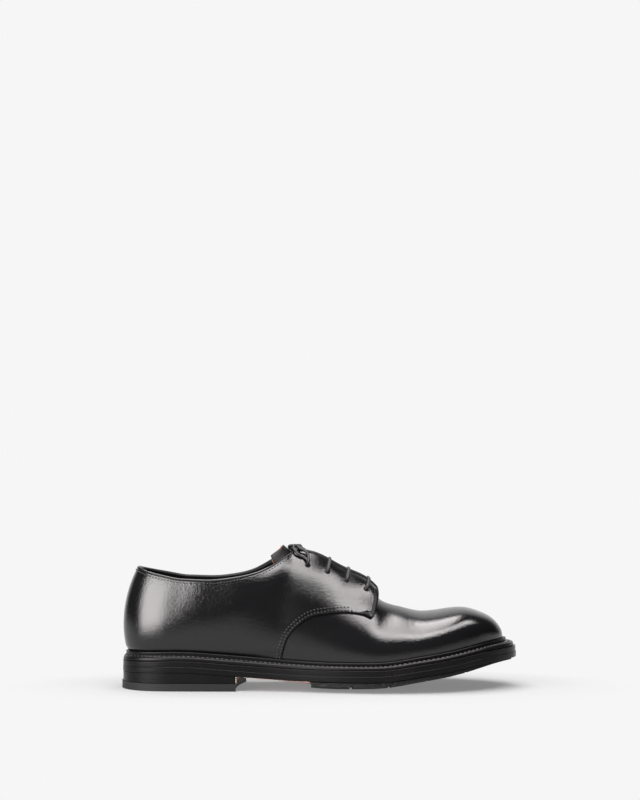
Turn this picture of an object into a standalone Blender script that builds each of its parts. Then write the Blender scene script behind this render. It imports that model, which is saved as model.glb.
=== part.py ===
# A right derby shoe with four eyelet pairs, as a maker's assembly.
# Metres, +Z up, toe to +X, inner side of the foot to +Y.
# The origin is on the floor under the middle of the shoe.
import math

import bmesh
import bpy
import numpy as np
from mathutils import Vector

# Driving sizes
SOLE_LENGTH = 0.3030       # outsole edge, heel to toe
BALL_WIDTH = 0.1049        # outsole edge across the ball
INSTEP_HEIGHT = 0.0820     # top of the facings above the welt
HEEL_SEAT_HEIGHT = 0.0250  # welt top at the heel, above the floor
TOE_SPRING = 0.0100        # how much higher the welt top is at the toe than at the heel
CAMBER = 0.0058            # how far the forefoot sags between its edges

# Layers of the bottom
WELT_THICK = 0.0032
MIDSOLE_THICK = 0.0040
OUTSOLE_THICK = 0.0040
TREAD_THICK = 0.0028
INSOLE_THICK = 0.0030
LIFT_THICK = 0.0056
FIT_GAP = 0.0003           # space between pieces that touch

# Edge flare: how far each layer's edge lies inside the outsole's
WELT_SETBACK = 0.0024
MIDSOLE_SETBACK = 0.0009
OUTSOLE_SETBACK = 0.0
TREAD_SETBACK = 0.0016
HEEL_SETBACK_SHARE = 0.28  # the layers are nearly flush round the heel
STACK_SETBACK = 0.0002
LIFT_FLARE = 0.0006

# Storm rib of the welt
RIB_WIDTH = 0.0022
RIB_HEIGHT = 0.0035
RIB_CLEARANCE = 0.0003     # more room between the rib's top and the upper
WELT_LEDGE = 0.0042        # how far the welt reaches in under the upper's foot
SHELF_AT_TOE = 0.0056      # flat welt outside the rib
EDGE_ROUND = 0.0009

# Upper
WALL = 0.0018
OVERLAY = 0.0014           # how far the quarters stand over the vamp
FACING_RISE = 0.0030       # the same at the facings
FACING_FRONT_RISE = 0.0062  # the same at the facings' front corner
OVERLAY_ROOT = 0.0007      # how deep the quarters are sunk into the wall
OVERLAY_START = 0.035      # share of a rib where the quarters begin to stand over the vamp
OVERLAY_FADE = 0.09        # share of a rib over which they reach their full height
COLLAR_LIFT = 0.0014       # the inner collar is this much higher
SADDLE_LIFT = 0.0034       # and this much more where it climbs to the facing
SADDLE_ROW = 16.7
SADDLE_SPREAD = 1.2
TONGUE_THICK = 0.0024
TONGUE_DROP = 0.0008       # more room between the tongue and the facings' top corner
TONGUE_REACH = (-0.0112, 0, 0.0102)  # from the facings' top corner to the tongue's top
# Standing end of the tongue. step: share of TONGUE_REACH; width, height: shares of the section
TONGUE_STAND = ((0.3, 0.85, 0.81), (0.6, 0.76, 0.66), (0.85, 0.66, 0.52), (1.0, 0.50, 0.40))

# Heel
BREAST_PLACE = 0.300       # breast on the heel's middle line, as a share of the sole's length
BREAST_HOLLOW = 0.0030
BREAST_SKEW = 0.0044       # the inner corner of the breast lies this much further forward

# Tread
TREAD_START = 0.478        # share of the sole's length
TREAD_END = 0.982
GROOVE_PITCH = 0.0284
FIRST_GROOVE = 0.576       # share of the sole's length
GROOVE_WIDTH = 0.0023
GROOVE_DEPTH = 0.0015
GROOVES = 4

# Lace
LACE_THICK = 0.0023
EYELET_DROP = 0.80         # how far up a rib the eyelets sit, as a share of the rib
BAR_ROWS = (12.68, 11.82, 10.52)
KNOT_ROW = 13.42
KNOT_SHIFT = (-0.0022, -0.0026)  # X and Z of the knot's middle from over the facing's edge

# Outline of the outsole's edge, one row for each point, from the heel's back round the
# outer side to the toe and back along the inner side.
# along: share of SOLE_LENGTH; across: share of BALL_WIDTH, inner side positive
OUTLINE = (
    (0.000, -0.024), (0.018, -0.185), (0.066, -0.295), (0.139, -0.329), (0.232, -0.334),
    (0.324, -0.341), (0.414, -0.370), (0.527, -0.443), (0.629, -0.492), (0.696, -0.499),
    (0.789, -0.476), (0.855, -0.424), (0.903, -0.361), (0.948, -0.262), (0.983, -0.142),
    (1.000, 0.022), (0.984, 0.180), (0.948, 0.289), (0.892, 0.397), (0.812, 0.470),
    (0.722, 0.499), (0.629, 0.470), (0.530, 0.378), (0.430, 0.284), (0.331, 0.243),
    (0.232, 0.250), (0.139, 0.276), (0.066, 0.248), (0.018, 0.143))
TOE_ROW = 15

# Height of the welt's top along the sole.
# along: share of SOLE_LENGTH; seat: share of HEEL_SEAT_HEIGHT; spring: share of TOE_SPRING;
# camber: share of CAMBER; shelf: share of SHELF_AT_TOE; axis: share of BALL_WIDTH
PROFILE = (
    (0.00, 0.99, 0.00, 0.00, 0.42, -0.024),
    (0.10, 1.02, 0.00, 0.00, 0.42, -0.024),
    (0.17, 1.02, 0.00, 0.00, 0.42, -0.024),
    (0.24, 0.965, 0.00, 0.00, 0.44, -0.024),
    (0.33, 0.885, 0.00, 0.10, 0.48, -0.022),
    (0.43, 0.822, 0.00, 0.55, 0.60, -0.020),
    (0.52, 0.806, 0.00, 0.97, 0.75, -0.018),
    (0.60, 0.808, 0.00, 1.00, 0.88, -0.012),
    (0.66, 0.826, 0.01, 0.97, 0.92, -0.004),
    (0.74, 0.900, 0.17, 0.85, 0.95, 0.004),
    (0.82, 0.980, 0.34, 0.66, 0.98, 0.010),
    (0.90, 1.000, 0.76, 0.40, 1.00, 0.016),
    (0.96, 1.000, 0.97, 0.14, 1.00, 0.022),
    (1.00, 1.000, 1.02, 0.00, 1.00, 0.030))

# Ribs of the upper from the toe's tip (row 0) to the heel's back. Each climbs from its foot
# on the welt to its edge beside the crest, at the facing or at the collar.
# foot: share of the way along the side; along: share of SOLE_LENGTH;
# across: half gap, share of BALL_WIDTH; rise: share of INSTEP_HEIGHT above the welt;
# flare, lean, turn: degrees; low, high: fullness as shares of the rib's span
RIBS = (
    (0.000, 0.9655, 0.000, 0.010, 4, 2, 0, 0.40, 0.40),
    (0.020, 0.9645, 0.011, 0.077, 4, 2, 0, 0.42, 0.42),
    (0.050, 0.9570, 0.023, 0.143, 5, 3, 0, 0.44, 0.45),
    (0.085, 0.9380, 0.032, 0.226, 6, 4, 0, 0.46, 0.48),
    (0.122, 0.9080, 0.040, 0.298, 6, 5, 0, 0.47, 0.50),
    (0.165, 0.8664, 0.046, 0.366, 7, 6, 0, 0.46, 0.50),
    (0.213, 0.8150, 0.048, 0.390, 8, 7, 0, 0.45, 0.48),
    (0.270, 0.7587, 0.048, 0.400, 9, 8, 0, 0.43, 0.46),
    (0.325, 0.7020, 0.048, 0.474, 9, 10, 0, 0.41, 0.42),
    (0.377, 0.6490, 0.048, 0.570, 9, 14, 0, 0.40, 0.36),
    (0.403, 0.6240, 0.048, 0.668, 9, 17, 0, 0.40, 0.33),
    (0.430, 0.5970, 0.048, 0.747, 9, 19, 0, 0.40, 0.31),
    (0.468, 0.5585, 0.048, 0.835, 9, 21, 0, 0.40, 0.30),
    (0.526, 0.4990, 0.055, 0.963, 10, 23, 0, 0.40, 0.29),
    (0.588, 0.4365, 0.070, 1.014, 11, 29, 0, 0.38, 0.285),
    (0.607, 0.4255, 0.110, 0.990, 12, 41, 0, 0.36, 0.270),
    (0.637, 0.4040, 0.172, 0.930, 12, 50, 0, 0.34, 0.270),
    (0.668, 0.3730, 0.210, 0.861, 13, 58, 0, 0.33, 0.265),
    (0.708, 0.3300, 0.240, 0.794, 14, 65, 0, 0.325, 0.280),
    (0.752, 0.2805, 0.251, 0.746, 15, 70, 0, 0.32, 0.310),
    (0.803, 0.2210, 0.248, 0.710, 16, 73, 2, 0.32, 0.33),
    (0.857, 0.1625, 0.229, 0.705, 17, 73, 9, 0.32, 0.34),
    (0.907, 0.1100, 0.195, 0.736, 18, 70, 25, 0.31, 0.34),
    (0.948, 0.0700, 0.138, 0.774, 19, 66, 48, 0.31, 0.35),
    (0.976, 0.0488, 0.0715, 0.805, 20, 62, 70, 0.31, 0.35),
    (1.000, 0.0424, 0.000, 0.820, 20, 61, 90, 0.31, 0.35))
ODD_COLUMNS = (0, 2, 6)    # these change sign across the heel's back, the others do not
THROAT_ROW = 10.9          # the vamp closes the throat in front of this rib
TONGUE_ROOT_ROW = 9.3      # the tongue starts under the vamp behind this rib
TOP_ROW = 14               # the facings' top corner
BACK_ROW = len(RIBS) - 1

# Edge of the quarters over the vamp, seen from the side, from the welt to the facing's corner.
# along: share of SOLE_LENGTH; rise: share of INSTEP_HEIGHT above the welt at the seam's foot
QUARTER_EDGE = (
    (0.400, -0.06), (0.402, 0.045), (0.410, 0.165), (0.429, 0.287), (0.468, 0.407),
    (0.503, 0.446), (0.541, 0.460), (0.580, 0.457), (0.613, 0.440), (0.628, 0.412),
    (0.634, 0.428), (0.641, 0.500), (0.647, 0.588), (0.648, 0.660), (0.645, 0.708),
    (0.637, 0.760), (0.624, 0.830), (0.600, 0.950))

OUTER = -1
INNER = 1


def spline(places, values, at, flat_end=False, steady=False):
    """Smooth curve through the values. flat_end levels its finish, steady stops it overshooting."""
    places = np.asarray(places, float)
    values = np.asarray(values, float)
    count = len(places)
    steps = np.diff(places)
    rises = np.diff(values, axis=0) / steps[:, None]
    matrix = np.eye(count)
    bends = np.zeros_like(values)
    for row in range(1, count - 1):
        matrix[row, row - 1:row + 2] = steps[row - 1], 2 * (steps[row - 1] + steps[row]), steps[row]
        bends[row] = 6 * (rises[row] - rises[row - 1])
    if flat_end:
        matrix[-1, -2:] = steps[-1], 2 * steps[-1]
        bends[-1] = -6 * rises[-1]
    bends = np.linalg.solve(matrix, bends)
    slopes = np.vstack([rises - steps[:, None] * (2 * bends[:-1] + bends[1:]) / 6,
                        rises[-1:] + steps[-1] * (bends[-2:-1] + 2 * bends[-1:]) / 6])
    if steady:
        limit = 3 * np.minimum(np.abs(rises[:-1]), np.abs(rises[1:])) * (rises[:-1] * rises[1:] > 0)
        slopes[1:-1] = np.clip(slopes[1:-1], -limit, limit)
    at = np.asarray(at, float)
    part = np.clip(np.searchsorted(places, at, side="right") - 1, 0, count - 2)
    width = steps[part][..., None]
    t = (at - places[part])[..., None] / width
    return values[part] * (1 + 2 * t) * (1 - t) ** 2 + slopes[part] * width * t * (1 - t) ** 2 \
        + values[part + 1] * t * t * (3 - 2 * t) + slopes[part + 1] * width * t * t * (t - 1)


def ease(value):
    """Smooth step from 0 to 1."""
    value = np.clip(value, 0, 1)
    return value * value * (3 - 2 * value)


def place_along(share):
    """X of a share of the sole's length."""
    return (np.asarray(share) - 0.5) * SOLE_LENGTH + LIFT_FLARE / 2


def share_along(x):
    return (np.asarray(x) - LIFT_FLARE / 2) / SOLE_LENGTH + 0.5


def profile(x):
    """Columns of the bottom's table at the given X."""
    table = np.array(PROFILE)
    return spline(table[:, 0], table[:, 1:], np.clip(share_along(x), 0, 1))


def welt_top(x):
    columns = profile(x)
    return columns[..., 0] * HEEL_SEAT_HEIGHT + columns[..., 1] * TOE_SPRING


def axis(x):
    return profile(x)[..., 4] * BALL_WIDTH


def dense_sides():
    """Both sides of the outsole's edge from toe to heel, close-set, with their outward normals."""
    rows = np.array(OUTLINE)
    loop = np.column_stack([place_along(rows[:, 0]), rows[:, 1] * BALL_WIDTH])
    wrapped = np.vstack([loop[-6:], loop, loop[:7]])
    places = np.concatenate([[0], np.cumsum(np.linalg.norm(np.diff(wrapped, axis=0), axis=1))])
    first, toe, last = places[6], places[6 + TOE_ROW], places[6 + len(loop)]
    sides = {}
    for side, start, end in ((OUTER, toe, first), (INNER, toe, last)):
        at = np.linspace(start, end, 900)
        points = spline(places, wrapped, at)
        runs = np.gradient(points, axis=0)
        runs /= np.linalg.norm(runs, axis=1)[:, None]
        normals = np.column_stack([runs[:, 1], -runs[:, 0]]) * side
        sides[side] = points, normals
    return sides


SIDES = dense_sides()


def edge_line(side, inset):
    """The sole's edge moved inwards, as close-set points and shares of its length."""
    points, normals = SIDES[side]
    line = points - normals * np.asarray(inset).reshape(-1, 1)
    runs = np.linalg.norm(np.diff(line, axis=0), axis=1)
    shares = np.concatenate([[0], np.cumsum(runs)])
    return line, normals, shares / shares[-1]


def edge_point(side, share, inset):
    """Point and outward normal at a share of the way from toe to heel."""
    line, normals, shares = edge_line(side, inset)
    point = np.stack([np.interp(share, shares, line[:, k]) for k in range(2)], axis=-1)
    normal = np.stack([np.interp(share, shares, normals[:, k]) for k in range(2)], axis=-1)
    return point, normal / np.linalg.norm(normal, axis=-1, keepdims=True)


def edge_at(side, x, inset):
    """Y of the inset edge at the given X."""
    line, _, _ = edge_line(side, inset)
    return np.interp(x, line[::-1, 0], line[::-1, 1])


def shelf(side):
    """Width of the flat welt outside the rib, along the side's close-set points."""
    return profile(SIDES[side][0][:, 0])[:, 3] * SHELF_AT_TOE


def setback(side, width):
    """Inset of a layer's edge along the side: full at the toe, small round the heel."""
    fade = ease((share_along(SIDES[side][0][:, 0]) - 0.35) / 0.4)
    return width * (HEEL_SETBACK_SHARE + (1 - HEEL_SETBACK_SHARE) * fade)


def foot_inset(side):
    """Distance from the outsole's edge to the outside of the upper's foot."""
    return setback(side, WELT_SETBACK) + shelf(side) + RIB_WIDTH + FIT_GAP


def rib_places():
    """Where the ribs stand along the shoe, by the mean spacing of their feet and tops."""
    table = np.array(RIBS, float)
    foot = table[:, 0] * SOLE_LENGTH
    top = table[:, 1:4] * (SOLE_LENGTH, BALL_WIDTH, INSTEP_HEIGHT)
    runs = np.diff(foot) + np.linalg.norm(np.diff(top, axis=0), axis=1)
    return np.concatenate([[0], np.cumsum(runs / 2)])


def rib_net(side, rows, shares):
    """Points of the vamp's surface on the given ribs, at shares of the way up."""
    rows = np.asarray(rows, float)
    places = rib_places()
    at = np.interp(rows, np.arange(len(RIBS)), places)
    table = np.array(RIBS, float)
    columns = spline(places, table, at, flat_end=True, steady=True)
    columns[:, ODD_COLUMNS] = spline(places, table[:, ODD_COLUMNS], at, steady=True)
    foot_share, along, across, rise, flare, lean, turn, low, high = columns.T
    flat, normal = edge_point(side, foot_share, foot_inset(side))
    foot = np.column_stack([flat, welt_top(flat[:, 0]) + FIT_GAP])
    x = place_along(along)
    lift = COLLAR_LIFT * ease((rows - TOP_ROW - 0.5) / 3) * ease((BACK_ROW - rows) / 3)
    lift = (lift + SADDLE_LIFT * np.exp(-((rows - SADDLE_ROW) / SADDLE_SPREAD) ** 2)) * (side == INNER)
    top = np.column_stack([x, axis(x) + side * across * BALL_WIDTH,
                           welt_top(x) + rise * INSTEP_HEIGHT + lift])
    flare, lean, turn = np.radians(flare), np.radians(lean), np.radians(turn)
    leave = np.column_stack([normal * np.sin(flare)[:, None], np.cos(flare)])
    arrive = np.column_stack([np.sin(turn) * np.cos(lean), -side * np.cos(turn) * np.cos(lean),
                              np.sin(lean)])
    span = np.linalg.norm(top - foot, axis=1)
    first = foot + leave * (low * span)[:, None]
    second = top - arrive * (high * span)[:, None]
    t = np.asarray(shares, float)[None, :, None]
    net = (1 - t) ** 3 * foot[:, None] + 3 * (1 - t) ** 2 * t * first[:, None] \
        + 3 * (1 - t) * t ** 2 * second[:, None] + t ** 3 * top[:, None]
    return net, arrive


def crest_net(rows, shares):
    """Points of the narrow strip over the crest, from the outer ribs' edges to the inner ones."""
    outer, leave = rib_net(OUTER, rows, [1.0])
    inner, arrive = rib_net(INNER, rows, [1.0])
    reach = np.linalg.norm(inner - outer, axis=-1)[:, :1, None] / 3
    t = np.asarray(shares, float)[None, :, None]
    first = outer + leave[:, None] * reach
    second = inner + arrive[:, None] * reach
    return (1 - t) ** 3 * outer + 3 * (1 - t) ** 2 * t * first \
        + 3 * (1 - t) * t ** 2 * second + t ** 3 * inner


def patch_faces(base, rows, columns, flip=False):
    """Quads of a grid of points numbered from base."""
    faces = []
    for row in range(rows - 1):
        for column in range(columns - 1):
            corner = base + row * columns + column
            quad = (corner, corner + 1, corner + columns + 1, corner + columns)
            faces.append(quad[::-1] if flip else quad)
    return faces


def new_mesh(name, points, faces):
    """Mesh of the points and faces, with coinciding points merged and faces pointing out."""
    mesh = bpy.data.meshes.new(name)
    built = bmesh.new()
    verts = [built.verts.new(point) for point in points]
    for face in faces:
        corners = list(dict.fromkeys(face))
        if len(corners) > 2:
            built.faces.new([verts[corner] for corner in corners])
    bmesh.ops.remove_doubles(built, verts=built.verts, dist=0.00002)
    bmesh.ops.dissolve_degenerate(built, edges=built.edges, dist=0.00001)
    loose = [vert for vert in built.verts if not vert.link_faces]
    bmesh.ops.delete(built, geom=loose, context="VERTS")
    bmesh.ops.recalc_face_normals(built, faces=built.faces)
    if built.calc_volume(signed=True) < 0:
        bmesh.ops.reverse_faces(built, faces=built.faces)
    built.to_mesh(mesh)
    built.free()
    return mesh


def material(name, colour, roughness):
    """Plain finish of a sub-part."""
    finish = bpy.data.materials.new(name)
    finish.use_nodes = True
    shader = finish.node_tree.nodes["Principled BSDF"]
    shader.inputs["Base Color"].default_value = (*colour, 1)
    shader.inputs["Roughness"].default_value = roughness
    shader.inputs["Metallic"].default_value = 0
    return finish


def add_part(name, mesh, finish, collection):
    part = bpy.data.objects.new(name, mesh)
    collection.objects.link(part)
    if finish:
        mesh.materials.clear()
        mesh.materials.append(finish)
        mesh.shade_smooth()
        mesh.set_sharp_from_angle(angle=math.radians(35))
    else:
        part.hide_render = True
        part.display_type = "WIRE"
    return part


def add_boolean(part, cutter, operation):
    cut = part.modifiers.new(operation.title(), "BOOLEAN")
    cut.operation = operation
    cut.object = cutter
    cut.solver = "EXACT"


def closed_skin(points, faces, out, depth):
    """Closed solid around an open skin, from out above it to depth below it."""
    points = np.asarray(points)
    normals = np.zeros_like(points)
    for face in faces:
        corners = points[list(face)]
        normal = np.cross(corners[2] - corners[0], corners[-1] - corners[1])
        normals[list(face)] += normal
    lengths = np.linalg.norm(normals, axis=1, keepdims=True)
    normals /= np.where(lengths > 0, lengths, 1)
    count = len(points)
    uses = {}
    for face in faces:
        for start, end in zip(face, face[1:] + face[:1]):
            uses[(start, end)] = uses.get((start, end), 0) + 1
    shell = list(faces) + [tuple(corner + count for corner in face[::-1]) for face in faces]
    for start, end in uses:
        if (end, start) not in uses:
            shell.append((end, start, start + count, end + count))
    above = points + normals * np.reshape(out, (-1, 1))
    below = points - normals * np.reshape(depth, (-1, 1))
    return np.vstack([above, below]), shell


def side_skin(rows, shares):
    """Open skin of both sides, joined at the heel's back when the rows reach it."""
    points = []
    faces = []
    for side in (OUTER, INNER):
        net, _ = rib_net(side, rows, shares)
        faces += patch_faces(len(points), len(rows), len(shares), flip=side == INNER)
        points += list(net.reshape(-1, 3))
    count = len(rows) * len(shares)
    if rows[-1] == BACK_ROW:
        last = (len(rows) - 1) * len(shares)
        shared = {count + last + k: last + k for k in range(len(shares))}
        faces = [tuple(shared.get(corner, corner) for corner in face) for face in faces]
    return points, faces


def rib_rows():
    """Ribs of the mesh: close at the toe and heel, where the surface turns fastest."""
    toe = [0.35, 0.7, 1.0, 1.4, 1.8, 2.3, 2.8, 3.4, 4.0, 4.7, 5.5, 6.3, 7.2, 8.1, 9.0, 9.6, 10.3]
    rest = [THROAT_ROW, 11.6, 12.4, 13.2, TOP_ROW, 14.5, 15.0, 15.6, 16.3, 17.0, 17.8, 18.7,
            19.6, 20.4, 21.2, 21.9, 22.6, 23.3, 24.0, 24.5, BACK_ROW]
    return np.array(toe + rest)


UP_SHARES = np.array([0, 0.07, 0.16, 0.26, 0.37, 0.48, 0.59, 0.70, 0.80, 0.90, 1.0])
CREST_SHARES = np.array([0, 0.5, 1.0])


def make_upper(collection, cutters, finish):
    """Vamp and quarters: one hollow wall with the quarters standing over the vamp."""
    rows = rib_rows()
    points, faces = side_skin(rows, UP_SHARES)
    per_row = len(UP_SHARES)
    side_count = len(rows) * per_row
    front = int(np.searchsorted(rows, THROAT_ROW)) + 1
    crest = crest_net(rows[:front], CREST_SHARES)
    base = len(points)
    points += list(crest.reshape(-1, 3))
    crest_faces = patch_faces(base, front, len(CREST_SHARES))
    shared = {}
    for row in range(front):
        shared[base + row * len(CREST_SHARES)] = row * per_row + per_row - 1
        shared[base + row * len(CREST_SHARES) + len(CREST_SHARES) - 1] = \
            side_count + row * per_row + per_row - 1
    faces += [tuple(shared.get(corner, corner) for corner in face) for face in crest_faces]
    tip, _ = rib_net(OUTER, [0.0], [0.0])
    points.append(tip[0, 0])
    first_arch = list(range(per_row)) + [base + 1] \
        + list(range(side_count + per_row - 1, side_count - 1, -1))
    faces += [(len(points) - 1, end, start) for start, end in zip(first_arch, first_arch[1:])]
    points, faces = closed_skin(points, faces, np.zeros(len(points)), np.full(len(points), WALL))
    upper = add_part("upper", new_mesh("upper", points, faces), finish, collection)

    quarters = make_quarters(cutters)
    add_boolean(upper, quarters, "UNION")
    return upper


def overlay_rise(rows, shares):
    """How far the quarters stand over the vamp's surface, rib by rib."""
    row, share = np.meshgrid(rows, shares, indexing="ij")
    facing = ease((share - 0.55) / 0.35) * ease((18 - row) / 3)
    front = facing * ease((12.6 - row) / 2)
    rise = OVERLAY + (FACING_RISE - OVERLAY) * facing + (FACING_FRONT_RISE - FACING_RISE) * front
    return rise * np.maximum(ease((share - OVERLAY_START) / OVERLAY_FADE), 0.07)


def make_quarters(cutters):
    """The quarters' layer, trimmed to its edge over the vamp."""
    rows = rib_rows()
    rows = rows[rows >= 8.1]
    shares = np.concatenate([[0.012], UP_SHARES[1:-1], [0.95, 1.004]])
    points, faces = side_skin(rows, shares)
    rise = np.tile(overlay_rise(rows, shares).ravel(), 2)
    points, faces = closed_skin(points, faces, rise, np.full(len(points), OVERLAY_ROOT))
    quarters = add_part("quarters", new_mesh("quarters", points, faces), None, cutters)

    table = np.array(QUARTER_EDGE)
    seam = spline(np.arange(9), table[:9], np.linspace(0, 8, 25))
    front = spline(np.arange(len(table) - 9), table[9:], np.linspace(0, len(table) - 10, 22))
    line = np.vstack([seam, front])
    x = place_along(line[:, 0])
    z = welt_top(place_along(table[0, 0])) + line[:, 1] * INSTEP_HEIGHT
    far_top = 2 * INSTEP_HEIGHT
    x = np.concatenate([x, [x[-1], -SOLE_LENGTH, -SOLE_LENGTH]])
    z = np.concatenate([z, [far_top, far_top, z[0]]])
    count = len(x)
    points = [(x[k], side * BALL_WIDTH, z[k]) for side in (OUTER, INNER) for k in range(count)]
    faces = [tuple(range(count)), tuple(range(2 * count - 1, count - 1, -1))]
    for start in range(count):
        end = (start + 1) % count
        faces.append((end, start, start + count, end + count))
    template = add_part("quarter_template", new_mesh("quarter_template", points, faces),
                        None, cutters)
    add_boolean(quarters, template, "INTERSECT")
    return quarters


def make_tongue(collection, finish):
    """Lined tongue: follows the facings' underside, then stands above them."""
    rows = rib_rows()
    rows = rows[(rows > TONGUE_ROOT_ROW) & (rows <= TOP_ROW)]
    shares = UP_SHARES[-4:]
    outer, _ = rib_net(OUTER, rows, shares)
    inner, _ = rib_net(INNER, rows, shares)
    crest = crest_net(rows, CREST_SHARES)
    net = np.concatenate([outer, crest[:, 1:2], inner[:, ::-1]], axis=1)
    depth = WALL + 2 * FIT_GAP + TONGUE_DROP * ease(rows - TOP_ROW + 1)
    depth = np.repeat(depth, net.shape[1])
    points, _ = closed_skin(net.reshape(-1, 3), patch_faces(0, *net.shape[:2]), 0 * depth, depth)
    under = points[len(depth):].reshape(net.shape)
    last = under[-1]
    middle = last[len(last) // 2]
    stand = []
    for step, width, height in TONGUE_STAND:
        spread = (last - middle) * (1, width, height)
        stand.append(middle + spread + np.array(TONGUE_REACH) * step)
    net = np.concatenate([under, np.array(stand)])
    flat = np.zeros(net.shape[0] * net.shape[1])
    points, faces = closed_skin(net.reshape(-1, 3), patch_faces(0, *net.shape[:2]), flat,
                                flat + TONGUE_THICK)
    return add_part("tongue", new_mesh("tongue", points, faces), finish, collection)


def layer_z(x, y, drop):
    """Height of a bottom layer's face, which sags between the sole's edges at the forefoot."""
    outer, inner = edge_at(OUTER, x, 0), edge_at(INNER, x, 0)
    across = np.clip((2 * y - outer - inner) / np.maximum(inner - outer, 0.0001), -1, 1)
    sag = profile(x)[..., 2] * CAMBER * (1 - np.abs(across) ** 2.4)
    return welt_top(x) - sag - drop


def plate(sections, top, bottom):
    """Closed plate between cross sections of points, with its top and bottom heights."""
    rows, columns = sections.shape[:2]
    upper = np.concatenate([sections, top[..., None]], axis=2).reshape(-1, 3)
    lower = np.concatenate([sections, bottom[..., None]], axis=2).reshape(-1, 3)
    count = rows * columns
    faces = patch_faces(0, rows, columns) + patch_faces(count, rows, columns, flip=True)
    ring = [k for k in range(columns)]
    ring += [row * columns + columns - 1 for row in range(1, rows)]
    ring += [(rows - 1) * columns + k for k in range(columns - 2, -1, -1)]
    ring += [row * columns for row in range(rows - 2, 0, -1)]
    for start, end in zip(ring, ring[1:] + ring[:1]):
        faces.append((end, start, start + count, end + count))
    return np.vstack([upper, lower]), faces


def cross_sections(shares, inset, across):
    """Points across the sole between like shares of both sides, from toe to heel."""
    outer, _ = edge_point(OUTER, shares, inset[OUTER])
    inner, _ = edge_point(INNER, shares, inset[INNER])
    weight = ((np.asarray(across) + 1) / 2)[None, :, None]
    return outer[:, None] * (1 - weight) + inner[:, None] * weight


ROUND_SHARES = np.concatenate([[0, 0.008, 0.02, 0.038, 0.06, 0.09], np.linspace(0.13, 0.87, 19),
                               [0.90, 0.925, 0.95, 0.97, 0.985, 0.995, 1.0]])
ACROSS = np.array([-1, -0.82, -0.58, -0.28, 0, 0.28, 0.58, 0.82, 1])


def make_layer(name, inset, drop, thick, collection, finish):
    """A full-length layer of the bottom."""
    insets = {side: setback(side, inset) for side in (OUTER, INNER)}
    sections = cross_sections(ROUND_SHARES, insets, ACROSS)
    top = layer_z(sections[..., 0], sections[..., 1], drop)
    points, faces = plate(sections, top, top - thick)
    return add_part(name, new_mesh(name, points, faces), finish, collection)


def make_insole(collection, finish):
    """The plate inside the welt's ledge."""
    inset = {side: foot_inset(side) + WELT_LEDGE + FIT_GAP for side in (OUTER, INNER)}
    sections = cross_sections(ROUND_SHARES, inset, ACROSS)
    bottom = layer_z(sections[..., 0], sections[..., 1], WELT_THICK - FIT_GAP)
    points, faces = plate(sections, bottom + INSOLE_THICK, bottom)
    return add_part("insole", new_mesh("insole", points, faces), finish, collection)


def make_welt(collection, finish):
    """Flat welt round the edge with the storm rib against the upper."""
    loop = []
    for side, shares in ((OUTER, ROUND_SHARES), (INNER, ROUND_SHARES[-2:0:-1])):
        edge = setback(side, WELT_SETBACK)
        rib_out = edge + shelf(side)
        rib_in = rib_out + RIB_WIDTH
        foot = foot_inset(side)
        under = WELT_THICK - 0.5 * FIT_GAP
        flare = np.interp(edge_line(side, 0)[2], np.array(RIBS)[:, 0], np.array(RIBS)[:, 4])
        lean = RIB_HEIGHT * np.tan(np.radians(flare)) + RIB_CLEARANCE
        stations = (
            (edge - 0.4 * EDGE_ROUND, under),
            (edge, EDGE_ROUND),
            (edge + EDGE_ROUND, 0.0),
            (rib_out, 0.0),
            (rib_out - 0.4 * lean, -0.55 * RIB_HEIGHT),
            (rib_out + 0.1 * RIB_WIDTH - 0.6 * lean, -0.88 * RIB_HEIGHT),
            (rib_out + 0.4 * RIB_WIDTH - 0.8 * lean, -RIB_HEIGHT),
            (rib_in - lean, -0.93 * RIB_HEIGHT),
            (rib_in, 0.0),
            (foot + WELT_LEDGE, 0.0),
            (foot + WELT_LEDGE, under))
        for share in shares:
            section = []
            for inset, drop in stations:
                flat, _ = edge_point(side, share, inset)
                section.append((*flat, float(layer_z(flat[0], flat[1], drop))))
            loop.append(section)
    rows, columns = len(loop), len(loop[0])
    points = [point for section in loop for point in section]
    faces = []
    for row in range(rows):
        for column in range(columns):
            after = (column + 1) % columns
            down = (row + 1) % rows
            faces.append((row * columns + column, row * columns + after,
                          down * columns + after, down * columns + column))
    return add_part("welt", new_mesh("welt", points, faces), finish, collection)


def sole_drop():
    """How far the outsole's underside lies below the welt's top."""
    return WELT_THICK + MIDSOLE_THICK + OUTSOLE_THICK + 2 * FIT_GAP


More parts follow.
